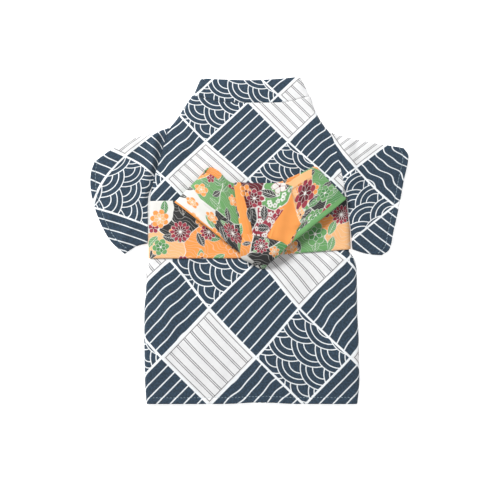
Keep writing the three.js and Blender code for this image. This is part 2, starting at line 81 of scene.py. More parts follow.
# A doubled edge is this much higher, and its stitches sink this deep
HEM_THICKER = 0.3
STITCH_SINK = 0.25
STITCH_SINK_WIDTH = 0.8
COLLAR_FOLD_RADIUS = (BACK_REST_Z - FLOOR_Z) / 2
FULL_TURN = 2 * math.pi
SQUARE = ((-1, -1), (1, -1), (1, 1), (-1, 1))
WHITE = (1.0, 1.0, 1.0, 1.0)


def smooth(low: float, high: float, value: Number) -> np.ndarray:
    """Rises softly from 0 at low to 1 at high."""
    t = np.clip((np.asarray(value, float) - low) / (high - low), 0.0, 1.0)
    return t * t * (3.0 - 2.0 * t)


def lerp(a: Number, b: Number, t: Number) -> np.ndarray:
    """The value a share t of the way from a to b."""
    return np.asarray(a) + (np.asarray(b) - np.asarray(a)) * t


def add_object(name: str, data: object) -> bpy.types.Object:
    """A new object with that data, linked to the scene."""
    thing = bpy.data.objects.new(name, data)
    bpy.context.scene.collection.objects.link(thing)
    return thing


def unit(vectors: np.ndarray) -> np.ndarray:
    """Vectors along the last axis, each made 1 long."""
    return vectors / np.maximum(np.linalg.norm(vectors, axis=-1, keepdims=True), 1e-9)


def hem_lift(from_edge: np.ndarray, fold: float, soft: float) -> np.ndarray:
    """Height that a doubled edge adds, a fold wide, with a groove where it is stitched and a soft end."""
    doubled = HEM_THICKER * (1 - smooth(fold - 0.9, fold + soft, from_edge))
    return doubled - STITCH_SINK * np.exp(-((from_edge - fold) / STITCH_SINK_WIDTH) ** 2)


@dataclass(frozen=True)
class Table:
    """Rows of sizes with named columns, sorted by the first column."""

    columns: str
    rows: tuple[tuple[float, ...], ...]

    def read(self, column: str, at: Number) -> np.ndarray:
        """Reads a column at places along the first one, by a curve that never overshoots its rows.

        Args:
            column: the name of the column to read.
            at: places along the first column; places past its ends take the end rows.

        Returns:
            The column's value at each place.
        """
        names = self.columns.split()
        data = np.array(self.rows, float)
        xs, ys = data[:, 0], data[:, names.index(column)]
        place = np.clip(np.asarray(at, float), xs[0], xs[-1])
        slopes = np.diff(ys) / np.diff(xs)
        before, after = slopes[:-1], slopes[1:]
        total = np.where(before * after > 0, before + after, 1.0)
        inner = np.where(before * after > 0, 2.0 * before * after / total, 0.0)
        tangents = np.concatenate([slopes[:1], inner, slopes[-1:]])
        i = np.clip(np.searchsorted(xs, place, side="left") - 1, 0, len(xs) - 2)
        span = xs[i + 1] - xs[i]
        t = (place - xs[i]) / span
        leave = t * (1 - t) ** 2 * span * tangents[i]
        arrive = t * t * (t - 1) * span * tangents[i + 1]
        return lerp(ys[i], ys[i + 1], t * t * (3 - 2 * t)) + leave + arrive


# Side outlines of the body. seam is 1 where back and front are sewn and the edge rolls down to the fronts.
LEFT_SIDE = Table("y x seam", (
    (-150.2, -95.0, 1), (-128, -96.4, 1), (-92, -97.0, 1), (-64, -96.9, 1), (-45, -95.4, 1),
    (-30, -95.4, 1), (-23, -93.8, 1), (-18, -91.4, 1), (9, -91.4, 1), (41, -91.4, 1), (47, -90.2, 0),
    (65, -85.6, 0), (83, -80.0, 0), (97, -76.2, 0), (103, -73.4, 0), (107, -69.8, 1), (111, -66.4, 1),
    (118, -61.6, 1), (130, -52.8, 1),
))
RIGHT_SIDE = Table("y x seam", (
    (-150.2, 98.6, 1), (-128, 100.4, 1), (-92, 99.8, 1), (-64, 98.4, 1), (-45, 98.2, 1), (-27, 97.8, 1),
    (-20, 96.6, 1), (-14, 93.8, 1), (-10, 90.7, 1), (10, 90.0, 1), (22, 88.2, 1), (44, 86.7, 1),
    (50, 86.4, 0), (68, 82.6, 0), (84, 79.0, 0), (94, 75.8, 0), (99.5, 72.6, 0), (103.5, 69.2, 1),
    (107, 66.4, 1), (116, 60.6, 1), (130, 55.4, 1),
))
SASH_EDGES = Table("x bottom top", (
    (-93, -16.1, 35.8), (-11, -15.8, 37.6), (29, -12.4, 38.8), (92, -7.6, 40.3),
))
NECK_SEAM = Table("x y", ((-51, 133.9), (-28, 128.3), (-4, 127.0), (30, 127.4), (54, 132.9)))
COLLAR_TOP = Table("x y", ((-45.1, 148.9), (-23, 147.8), (0, 147.2), (23, 148.2), (46, 150.4)))


@dataclass(frozen=True)
class Fold:
    """A soft ridge (height above 0) or trough (below 0) between two points, in millimetres."""

    x0: float
    y0: float
    x1: float
    y1: float
    width: float
    height: float

    def lift(self, x: np.ndarray, y: np.ndarray) -> np.ndarray:
        """Height that the fold adds at each place."""
        dx, dy = self.x1 - self.x0, self.y1 - self.y0
        t = np.clip(((x - self.x0) * dx + (y - self.y0) * dy) / (dx * dx + dy * dy), 0, 1)
        away = np.hypot(x - self.x0 - t * dx, y - self.y0 - t * dy) / self.width
        return self.height * np.exp(-away * away)


@dataclass(frozen=True)
class Tuck:
    """A line where the cloth on its left lies over the cloth on its right, in millimetres."""

    x0: float
    y0: float
    x1: float
    y1: float
    reach: float
    height: float
    lip: float = 0.5
    fade: float = 6.0

    def lift(self, x: np.ndarray, y: np.ndarray) -> np.ndarray:
        """Height that the tuck adds at each place."""
        dx, dy = self.x1 - self.x0, self.y1 - self.y0
        length = math.hypot(dx, dy)
        along = ((x - self.x0) * dx + (y - self.y0) * dy) / length
        away = ((y - self.y0) * dx - (x - self.x0) * dy) / length
        over = smooth(-self.lip, self.lip, away) * np.exp(-np.clip(away, 0, None) / self.reach)
        ends = smooth(-self.fade, 0, along) * smooth(-self.fade, 0, length - along)
        return self.height * over * ends


def folds_lift(folds: Sequence[Union[Fold, Tuck]], x: np.ndarray, y: np.ndarray) -> np.ndarray:
    """Height that several folds add together at each place."""
    return sum((fold.lift(x, y) for fold in folds), np.zeros(np.broadcast(x, y).shape))


BACK_FOLDS = (
    Fold(-72, -24, -82, -118, 9, 1.5), Fold(-52, -22, -58, -84, 8, -0.9), Fold(74, -20, 86, -124, 9, 1.7),
    Fold(54, -18, 62, -96, 9, -0.9), Fold(4, -34, 10, -149, 13, 1.1), Fold(-40, -112, -44, -149, 11, -0.7),
    Fold(58, -118, 60, -149, 10, -0.8), Fold(-54, 108, -76, 52, 6, 1.3), Fold(58, 106, 76, 52, 6, 1.4),
    Fold(34, 118, 52, 62, 8, -0.6),
)
# Finer creases than the frame has, also listed one by one
BACK_CREASES = (
    Fold(-86, -24, -90, -52, 3.2, 0.7), Fold(-64, -22, -66, -40, 3.0, 0.5),
    Fold(86, -18, 91, -58, 3.4, 0.8), Fold(66, -19, 70, -46, 3.2, -0.5),
    Fold(-30, -24, -36, -60, 4.0, 0.45), Fold(30, -22, 34, -52, 4.0, 0.4),
    Fold(-88, -84, -70, -104, 4.5, -0.4), Fold(92, -96, 76, -120, 4.5, 0.45),
    Fold(-66, 98, -84, 62, 2.6, -0.5), Fold(66, 100, 80, 66, 2.6, -0.6), Fold(-44, 122, -50, 92, 4.0, 0.4),
    Fold(44, 122, 48, 96, 4.0, 0.35), Fold(-18, 112, -22, 70, 6.0, -0.3), Fold(12, 120, 16, 84, 6.0, 0.3),
    Fold(-78, 44, -64, 52, 3.6, 0.5), Fold(76, 46, 64, 56, 3.6, 0.5), Fold(-75, 98, -90, 46, 2.4, -0.9),
    Fold(74, 94, 87, 48, 2.4, -0.9), Fold(-58, 60, -72, 84, 3.4, 0.5), Fold(60, 64, 70, 84, 3.2, 0.5),
    Fold(-20, -118, -26, -146, 5.0, -0.4),
)
SASH_CREASES = (
    Fold(-90, 28, -56, 20, 4.0, 0.35), Fold(-90, -4, -62, 2, 4.2, 0.4), Fold(88, 30, 60, 22, 4.2, 0.35),
    Fold(88, 4, 58, 6, 3.6, 0.45), Fold(-70, -10, -30, -12, 3.0, -0.2), Fold(70, -4, 34, -8, 3.0, -0.2),
)


def sash_press(x: np.ndarray, y: np.ndarray) -> np.ndarray:
    """1 where the sash presses the layers, falling to 0 just outside its edges."""
    below = SASH_EDGES.read("bottom", x) - SASH_CLEAR
    above = SASH_EDGES.read("top", x) + SASH_CLEAR
    rise = np.clip((y - below + SASH_RAMP) / SASH_RAMP, 0, 1)
    fall = np.clip((y - above) / SASH_RAMP, 0, 1)
    return rise * rise * (3 - 2 * rise) * (1 - fall * fall * (3 - 2 * fall))


@dataclass(frozen=True)
class NeckSide:
    """One side of the neck, where the neckband folds over to the underside and runs down a front."""

    free: tuple[float, float]
    sewn: tuple[float, float]
    across: int
    lap_x: float

    @property
    def fold(self) -> np.ndarray:
        """Unit direction of the fold line, from the free edge to the sewn one."""
        line = np.subtract(self.sewn, self.free)
        return line / np.linalg.norm(line)

    @property
    def arm(self) -> np.ndarray:
        """Unit direction in which the neckband runs after its fold."""
        away = np.array([self.across, 0.0])
        return 2 * self.fold.dot(away) * self.fold - away

    @property
    def outward(self) -> np.ndarray:
        """Unit direction across the fold, away from the body."""
        side = np.array([-self.fold[1], self.fold[0]])
        return side * np.sign(self.across * side[0])

    def arm_start(self, edge: Sequence[float]) -> np.ndarray:
        """Where an edge of the neckband meets the surface after its fold."""
        return np.array(edge) - self.outward * COLLAR_FOLD_RADIUS


LEFT_NECK = NeckSide((-45.1, 148.9), (-51.1, 134.3), -1, OUTER_LAP_X)
RIGHT_NECK = NeckSide((46.0, 150.4), (54.3, 133.4), 1, INNER_LAP_X)


def outer_front_z(x: np.ndarray, y: np.ndarray) -> np.ndarray:
    """Height of the outer front's middle, on the surface and over the sash's underside."""
    return FLOOR_Z + LAYER * sash_press(x, y)


def inner_front_z(x: np.ndarray, y: np.ndarray) -> np.ndarray:
    """Height of the inner front's middle, which also passes over the outer front and its neckband."""
    arm = LEFT_NECK.arm
    edge_y = LEFT_NECK.free[1] + (x - LEFT_NECK.free[0]) * arm[1] / arm[0]
    lap = smooth(-14, -6, (edge_y - y) * arm[0]) * (1 - smooth(OUTER_LAP_X + 3, OUTER_LAP_X + LAP_RAMP, x))
    return outer_front_z(x, y) + LAYER * lap


def back_z(x: np.ndarray, y: np.ndarray) -> np.ndarray:
    """Height of the back's middle away from its rolled edges, with the frame's folds alone."""
    rest = lerp(BACK_HEM_Z, BACK_REST_Z, smooth(HEM_Y, HEM_Y + HEM_SLOPE, y))
    return rest + (1 - sash_press(x, y)) * folds_lift(BACK_FOLDS, x, y)


def seam_z(x: np.ndarray, y: np.ndarray) -> np.ndarray:
    """Height of the seam between back and front along a rolled edge."""
    return WALL + SEAM_GAP + LAYER * sash_press(x, y)


class Lay(Enum):
    """Whether a grid of cloth is an open sheet or a ring whose last column joins its first."""

    OPEN = "open"
    RING = "ring"


@dataclass
class Rim:
    """A free edge of a grid of cloth, as a loop whose first point comes again at its end.

    vertices numbers its points, places gives them in the UV grids, and outward is the way to its rounding.
    """

    vertices: np.ndarray
    places: np.ndarray
    outward: np.ndarray

    def turned(self) -> "Rim":
        """The same edge, run through the other way."""
        return Rim(self.vertices[::-1], self.places[::-1], self.outward[::-1])


@dataclass
class Cloth:
    """A grid of middle points of a cloth wall, with its place on the bolt and its place on the print."""

    points: np.ndarray
    bolt: np.ndarray
    print_at: np.ndarray
    lay: Lay = Lay.OPEN
    wall: float = WALL

    def normals(self) -> np.ndarray:
        """Unit normals of the grid, by central differences."""
        up = np.gradient(self.points, axis=0)
        if self.lay is Lay.RING:
            right = np.roll(self.points, -1, axis=1) - np.roll(self.points, 1, axis=1)
        else:
            right = np.gradient(self.points, axis=1)
        return unit(np.cross(right, up))

    def rims(self) -> list[Rim]:
        """The free edges of the grid: two for a ring, and one all round for an open sheet."""
        close = wrap if self.lay is Lay.RING else np.asarray
        points = close(self.points)
        numbers = close(np.arange(self.points[..., 0].size).reshape(self.points.shape[:2]))
        spots = np.arange(numbers.size).reshape(numbers.shape)

        def side(edge: object, inner: object) -> Rim:
            """One side of the grid, and the way out over it from the line inside it."""
            way_out = unit(points[edge] - points[inner])
            return Rim(numbers[edge], spots[edge], self.wall * RIM_ROUNDING * way_out)

        bottom, top = side(0, 1), side(-1, -2).turned()
        if self.lay is Lay.RING:
            return [bottom, top]
        right, left = side(np.s_[:, -1], np.s_[:, -2]), side(np.s_[:, 0], np.s_[:, 1]).turned()
        sides = [bottom, right, top, left]
        ends = [part.outward[-1].copy() for part in sides]
        for part, end in zip(sides, ends[-1:] + ends[:-1]):
            part.outward[0] += end
        columns = zip(*((part.vertices[:-1], part.places[:-1], part.outward[:-1]) for part in sides))
        return [Rim(*(np.concatenate([*column, column[0][:1]]) for column in columns))]

    def build(self, name: str, material: bpy.types.Material) -> bpy.types.Object:
        """Makes the cloth wall: both faces, and a rounded rim round each free edge.

        Args:
            name: the object's name.
            material: the cloth's finish.

        Returns:
            The new object, linked to the scene, with UV maps named bolt and print.
        """
        rows, columns = self.points.shape[:2]
        count = rows * columns
        middle = self.points.reshape(-1, 3)
        offset = self.normals().reshape(-1, 3) * self.wall / 2
        i, j = (part.ravel() for part in np.indices((rows - 1, self.bolt.shape[1] - 1)))
        cell = [(i, j), (i, j + 1), (i + 1, j + 1), (i + 1, j)]
        vertex = np.stack([row * columns + column % columns for row, column in cell], axis=1)
        place = np.stack([row * self.bolt.shape[1] + column for row, column in cell], axis=1)
        points = [middle + offset, middle - offset]
        quads = [vertex, vertex[:, ::-1] + count]
        places = [place, place[:, ::-1]]
        for rim in self.rims():
            start = sum(len(part) for part in points)
            points.append(middle[rim.vertices[:-1]] + rim.outward[:-1])
            mid = start + np.append(np.arange(len(rim.vertices) - 1), 0)
            a, b = rim.vertices[:-1], rim.vertices[1:]
            quads.append(np.stack([mid[:-1], mid[1:], b, a], axis=1))
            quads.append(np.stack([a + count, b + count, mid[1:], mid[:-1]], axis=1))
            spot = np.stack([rim.places[:-1], rim.places[1:], rim.places[1:], rim.places[:-1]], axis=1)
            places += [spot, spot]
        points = np.concatenate(points) * MM
        faces = np.concatenate(quads)
        mesh = bpy.data.meshes.new(name)
        mesh.from_pydata(points.tolist(), [], faces.tolist())
        order = np.concatenate(places).ravel()
        for layer, values in (("bolt", self.bolt), ("print", self.print_at)):
            uv = mesh.uv_layers.new(name=layer)
            uv.data.foreach_set("uv", values.reshape(-1, 2)[order].astype(np.float32).ravel())
        mesh.shade_smooth()
        mesh.materials.append(material)
        return add_object(name, mesh)


def arc_lengths(points: np.ndarray, ring: bool) -> np.ndarray:
    """Length along each row of a grid, with one more column at the end where the row is a ring."""
    closed = np.concatenate([points, points[:, :1]], axis=1) if ring else points
    steps = np.linalg.norm(np.diff(closed, axis=1), axis=2)
    return np.concatenate([np.zeros((len(points), 1)), np.cumsum(steps, axis=1)], axis=1)


def wrap(values: np.ndarray) -> np.ndarray:
    """A ring's grid with its first column repeated at its end."""
    return np.concatenate([values, values[:, :1]], axis=1)


def through(points: np.ndarray, share: np.ndarray, closed: bool = False, even: bool = False) -> np.ndarray:
    """A Catmull-Rom curve through points, read by its share from 0 to 1.

    Args:
        points: the points that it passes, one a row.
        share: where to read it.
        closed: whether the last point joins the first.
        even: whether tangents ignore the points' spacing.

    Returns:
        One point for each share.
    """
    count = len(points)
    spans = count if closed else count - 1
    place = np.clip(np.asarray(share, float), 0, 1) * spans
    i = np.minimum(np.floor(place).astype(int), spans - 1)
    t = (place - i)[..., None]
    if closed:
        p0, p1, p2, p3 = (points[(i + k) % count] for k in (-1, 0, 1, 2))
    else:
        ends = np.concatenate([[2 * points[0] - points[1]], points, [2 * points[-1] - points[-2]]])
        p0, p1, p2, p3 = (ends[i + k] for k in (0, 1, 2, 3))
    if even:
        leave, arrive = (p2 - p0) / 2, (p3 - p1) / 2
    else:
        pairs = ((p0, p1), (p1, p2), (p2, p3))
        d0, d1, d2 = (np.sqrt(np.linalg.norm(b - a, axis=-1, keepdims=True)) for a, b in pairs)
        leave = ((p1 - p0) / d0 - (p2 - p0) / (d0 + d1) + (p2 - p1) / d1) * d1
        arrive = ((p2 - p1) / d1 - (p3 - p1) / (d1 + d2) + (p3 - p2) / d2) * d1
    bend = -3 * p1 + 3 * p2 - 2 * leave - arrive
    twist = 2 * p1 - 2 * p2 + leave + arrive
    return p1 + leave * t + bend * t**2 + twist * t**3


@dataclass(frozen=True)
class LatticeMap:
    """Where a piece of cloth lies on the lattice print: the print's steps (a, b) at a place (x, y) in mm."""

    node: tuple[float, float]
    step: tuple[float, float]
    along_a: tuple[float, float]
    along_b: tuple[float, float]

    def at(self, x: np.ndarray, y: np.ndarray) -> np.ndarray:
        """The print's steps at each place."""
        turn = np.linalg.inv(np.array([self.along_a, self.along_b]).T)
        dx, dy = x - self.node[0], y - self.node[1]
        a = self.step[0] + turn[0, 0] * dx + turn[0, 1] * dy
        b = self.step[1] + turn[1, 0] * dx + turn[1, 1] * dy
        return np.stack([a, b], axis=-1)


@dataclass(frozen=True)
class PrintFit:
    """Where a curved piece of cloth lies on the lattice print.

    places holds rows (x, y, a, b): the print's steps a and b are known at the place x and y in mm.
    """

    places: tuple[tuple[float, float, float, float], ...]
    reach: float = 50.0

    def terms(self, x: np.ndarray, y: np.ndarray) -> np.ndarray:
        """The terms of a curved map at each place, in steps of its reach from the first known place."""
        dx, dy = (x - self.places[0][0]) / self.reach, (y - self.places[0][1]) / self.reach
        return np.stack([np.ones_like(dx), dx, dy, dx * dx, dx * dy, dy * dy], axis=-1)

    def at(self, x: np.ndarray, y: np.ndarray) -> np.ndarray:
        """The print's steps at each place."""
        known = np.array(self.places)
        weights, *_ = np.linalg.lstsq(self.terms(known[:, 0], known[:, 1]), known[:, 2:], rcond=None)
        return self.terms(x, y) @ weights


# On the back the print's rows close up towards the neck, where the cloth leans away from the eye
BACK_PRINT = Table("y row middle half", (
    (-151.8, -2, 6.4, 43.7), (-107.6, -1, 5.5, 43.4), (-62.1, 0, 3.7, 41.4), (-17.9, 1, 7.4, 40.8),
    (17.0, 2, 1.8, 39.5), (56.6, 3, -1.8, 38.0), (91.1, 4, -2.8, 37.9), (127.4, 5, -1.8, 37.7),
    (162.4, 6, -1.8, 37.7),
))


def back_print_at(x: np.ndarray, y: np.ndarray) -> np.ndarray:
    """The print's steps on the back at each place."""
    row = BACK_PRINT.read("row", y)
    column = 1 + (x - BACK_PRINT.read("middle", y)) / BACK_PRINT.read("half", y)
    return np.stack([(column - row) / 2, (column + row) / 2], axis=-1)


FRONT_PRINT = LatticeMap((6.0, -60.0), (0.0, 0.0), (41.0, -43.0), (41.0, 43.0))
COLLAR_PRINT = LatticeMap((25.8, 133.9), (0.0, 1.0), (37.7, -35.4), (37.7, 35.4))
LEFT_SLEEVE_PRINT = PrintFit((
    (-114.9, 78.8, 0.0, 1.0), (-146.3, 30.8, -1.0, 1.0), (-88.7, 64.2, 0.0, 0.48),
    (-122.6, 21.5, -1.0, 0.57), (-100.3, 16.7, -1.0, 0.18), (-89.6, 98.3, 0.6, 1.0),
    (-103.0, 87.9, 0.28, 1.0), (-122.6, 66.1, -0.28, 1.0), (-137.3, 48.7, -0.68, 1.0),
    (-130.5, 82.7, 0.0, 1.28), (-121.4, -8.7, -1.6, 0.72),
))
RIGHT_SLEEVE_PRINT = PrintFit((
    (96.0, 64.7, 0.0, 1.0), (134.3, 30.8, 0.0, 0.0), (89.6, 78.4, 0.0, 1.32), (76.6, 91.0, 0.0, 1.72),
    (83.6, 85.1, 0.0, 1.51),
    (119.4, 81.0, 0.5, 1.0), (142.9, 97.4, 1.0, 1.0), (133.0, 66.0, 0.41, 0.41), (116.0, 47.0, 0.0, 0.48),
    (97.1, 5.0, -0.79, 0.0), (115.7, 17.9, -0.39, 0.0), (120.0, 93.0, 0.62, 1.12),
))


@dataclass
class Body:
    """The back and the two fronts."""

    bands: tuple[int, ...] = (66, 8, 22, 8, 56)
    front_bands: tuple[int, ...] = (26, 4, 12, 4, 28)
    hem_fold: float = 5.2
    hem_soft: float = 0.5
    hem_rows: int = 14
    hem_share: float = 0.07
    hem_dip_x: float = 10.0
    hem_dip_reach: float = 20.0
    columns: int = 118
    roll_steps: int = 7
    crease_inset: float = 7.0
    neck_ease_y: float = 95.0
    near_columns: int = 15
    far_columns: int = 17

    def rows(self, x: Number, hem_y: float, neck_y: float, bands: Sequence[int]) -> np.ndarray:
        """Heights up the body of its rows at each x, keeping along the sash's slanted edges."""
        below = SASH_EDGES.read("bottom", x) - SASH_CLEAR
        above = SASH_EDGES.read("top", x) + SASH_CLEAR
        flat = np.zeros_like(below)
        marks = [flat + hem_y, below - SASH_RAMP, below, above, above + SASH_RAMP, flat + neck_y]
        shares = [np.linspace(0, 1, count + 1)[1:] for count in bands]
        if bands == self.bands:
            hem = np.linspace(0, self.hem_share, self.hem_rows)
            shares[0] = np.concatenate([hem[1:], np.linspace(self.hem_share, 1, bands[0])[1:]])
        rows = [marks[0][None]]
        for k, share in enumerate(shares):
            t = share.reshape((-1,) + (1,) * flat.ndim)
            rows.append(lerp(marks[k][None], marks[k + 1][None], t))
        return np.concatenate(rows)

    def heights(self, x: np.ndarray, hem_y: float, neck_y: float, bands: Sequence[int]) -> np.ndarray:
        """Height up the body of each point of a grid, from its place across."""
        return np.stack([self.rows(line, hem_y, neck_y, bands)[row] for row, line in enumerate(x)])

    def back(self) -> Cloth:
        """The back, from neck to hem, with its sides rolled down to the fronts."""
        left = LEFT_SIDE.read("x", self.rows(LEFT_ROWS_X, HEM_Y, NECK_TOP, self.bands))[:, None]
        right = RIGHT_SIDE.read("x", self.rows(RIGHT_ROWS_X, HEM_Y, NECK_TOP, self.bands))[:, None]
        angle = np.linspace(0, math.pi / 2, self.roll_steps)[None]
        u = np.linspace(0, 1, self.columns)[None, 1:-1]
        x = np.concatenate([
            left + ROLL * (1 - np.cos(angle)),
            lerp(left + ROLL, right - ROLL, u),
            (right - ROLL * (1 - np.cos(angle)))[:, ::-1],
        ], axis=1)
        y = self.heights(x, HEM_Y, NECK_TOP, self.bands)
        level = back_z(np.clip(x, left + ROLL, right - ROLL), y)
        inside = smooth(0, self.crease_inset, np.minimum(x - left, right - x) - ROLL)
        free = 1 - sash_press(x, y)
        level = level + inside * free * folds_lift(BACK_CREASES, x, y)
        level = level + hem_lift(y - HEM_Y, self.hem_fold, self.hem_soft)
        drop = np.zeros_like(x)
        steps = self.roll_steps
        fall = 1 - np.sin(angle)
        left_seam = LEFT_SIDE.read("seam", y[:, :1])
        right_seam = RIGHT_SIDE.read("seam", y[:, -1:])
        drop[:, :steps] = left_seam * (level - seam_z(x, y))[:, :steps] * fall
        drop[:, -steps:] = right_seam * (level - seam_z(x, y))[:, -steps:] * fall[:, ::-1]
        neck = smooth(self.neck_ease_y, NECK_TOP, y) * (NECK_SEAM.read("y", x) - 2 * SEAM_GAP - NECK_TOP)
        dip = np.exp(-(((x - self.hem_dip_x) / self.hem_dip_reach) ** 2))
        hem = HEM_DIP * dip * (1 - smooth(HEM_Y, HEM_Y + self.hem_dip_reach, y))
        points = np.stack([x, y + neck + hem, level - drop], axis=-1)
        side = np.where(x < 0, -1.0, 1.0)
        flat_x = x + side * drop
        bolt = np.stack([flat_x, points[..., 1]], axis=-1)
        return Cloth(points, bolt, back_print_at(bolt[..., 0], bolt[..., 1]))

    def front(self, side: Table, neck: NeckSide, height: Callable, ramp_x: float, to_centre: int) -> Cloth:
        """A front, from its side seam to its lapped edge, cut off along the neckband.

        Args:
            side: the side outline that it is sewn to.
            neck: the side of the neck whose neckband it carries.
            height: the height of its middle at a place.
            ramp_x: where its columns close up towards the lap.
            to_centre: 1 where the centre lies towards +X, and -1 where it lies the other way.

        Returns:
            The front's cloth.
        """
        bands = self.front_bands
        start = neck.arm_start(neck.sewn)
        hem_y, neck_y = HEM_Y + 1, start[1] - 4
        side_y = self.rows(-to_centre * FRONT_ROWS_X, hem_y, neck_y, bands)
        side_x = side.read("x", side_y) + to_centre * FRONT_INSET
        edge_x = np.full_like(side_x, neck.lap_x)
        pick = np.minimum if to_centre > 0 else np.maximum
        index = np.arange(len(side_x))
        for _ in range(4):
            row_y = self.rows(edge_x, hem_y, neck_y, bands)[index, index]
            cut = start[0] + (row_y - start[1]) * neck.arm[0] / neck.arm[1] - to_centre * NECK_RELIEF
            edge_x = pick(neck.lap_x, cut)
        mid_x = pick(ramp_x, lerp(side_x, edge_x, 0.6))
        near = np.linspace(0, 1, self.near_columns + 1)[None, :-1]
        far = np.linspace(0, 1, self.far_columns + 1)[None]
        x = np.concatenate([
            lerp(side_x[:, None], mid_x[:, None], near), lerp(mid_x[:, None], edge_x[:, None], far)], axis=1)
        y = self.heights(x, hem_y, neck_y, bands)
        points = np.stack([x, y, height(x, y)], axis=-1)
        if to_centre < 0:
            points = points[:, ::-1]
        x, y = points[..., 0], points[..., 1]
        return Cloth(points, points[..., :2].copy(), FRONT_PRINT.at(x, y))


@dataclass
class Neckband:
    """The neckband: up one front, folded at the neck's side, across the back and down the other front."""

    across: int = 14
    fold_steps: int = 13
    back_lines: int = 60
    arm_lines: int = 46
    crown: float = 0.5

    def line(self, free: np.ndarray, sewn: np.ndarray, height: Callable) -> np.ndarray:
        """One line across the band, from its sewn edge to its free edge."""
        flat = lerp(np.array(sewn)[None], np.array(free)[None], np.linspace(0, 1, self.across + 1)[:, None])
        z = height(flat[:, 0], flat[:, 1])
        return np.column_stack([flat, np.broadcast_to(z, len(flat))])

    def fold_lines(self, neck: NeckSide) -> list[np.ndarray]:
        """The band's lines round its fold, from the top down."""
        lines = []
        for angle in np.linspace(math.pi / 2, -math.pi / 2, self.fold_steps):
            shift = neck.outward * COLLAR_FOLD_RADIUS * (math.cos(angle) - 1)
            z = FLOOR_Z + COLLAR_FOLD_RADIUS * (1 + math.sin(angle))
            lines.append(self.line(np.add(neck.free, shift), np.add(neck.sewn, shift), lambda x, y, z=z: z))
        return lines

    def arm(self, neck: NeckSide, height: Callable) -> list[np.ndarray]:
        """The band's lines down a front."""
        lines = []
        for share in np.linspace(0, 1, self.arm_lines + 1)[1:]:
            ends = [
                start + neck.arm * share * (neck.lap_x - start[0]) / neck.arm[0]
                for start in (neck.arm_start(neck.free), neck.arm_start(neck.sewn))
            ]
            lines.append(self.line(ends[0], ends[1], height))
        return lines

    def cloth(self) -> Cloth:
        """The whole band."""
        left, right = self.fold_lines(LEFT_NECK), self.fold_lines(RIGHT_NECK)
        middle = []
        for t in np.linspace(0, 1, self.back_lines + 1)[1:-1]:
            sewn_x = lerp(left[0][0, 0], right[0][0, 0], t)
            free_x = lerp(left[0][-1, 0], right[0][-1, 0], t)
            sewn = (sewn_x, NECK_SEAM.read("y", sewn_x) + SEAM_GAP)
            free = (free_x, COLLAR_TOP.read("y", free_x))
            middle.append(self.line(free, sewn, lambda x, y: BACK_REST_Z))
        lines = [
            *self.arm(LEFT_NECK, outer_front_z)[::-1], *left[::-1], *middle, *right,
            *self.arm(RIGHT_NECK, inner_front_z),
        ]
        points = np.stack(lines)
        rounded = self.crown * np.sin(np.linspace(0, math.pi, self.across + 1))[None]
        points[..., 2] += (points[..., 2] > BACK_REST_Z - 0.01) * rounded
        print_at = COLLAR_PRINT.at(points[..., 0], points[..., 1])
        return Cloth(points, points[..., :2].copy(), print_at)


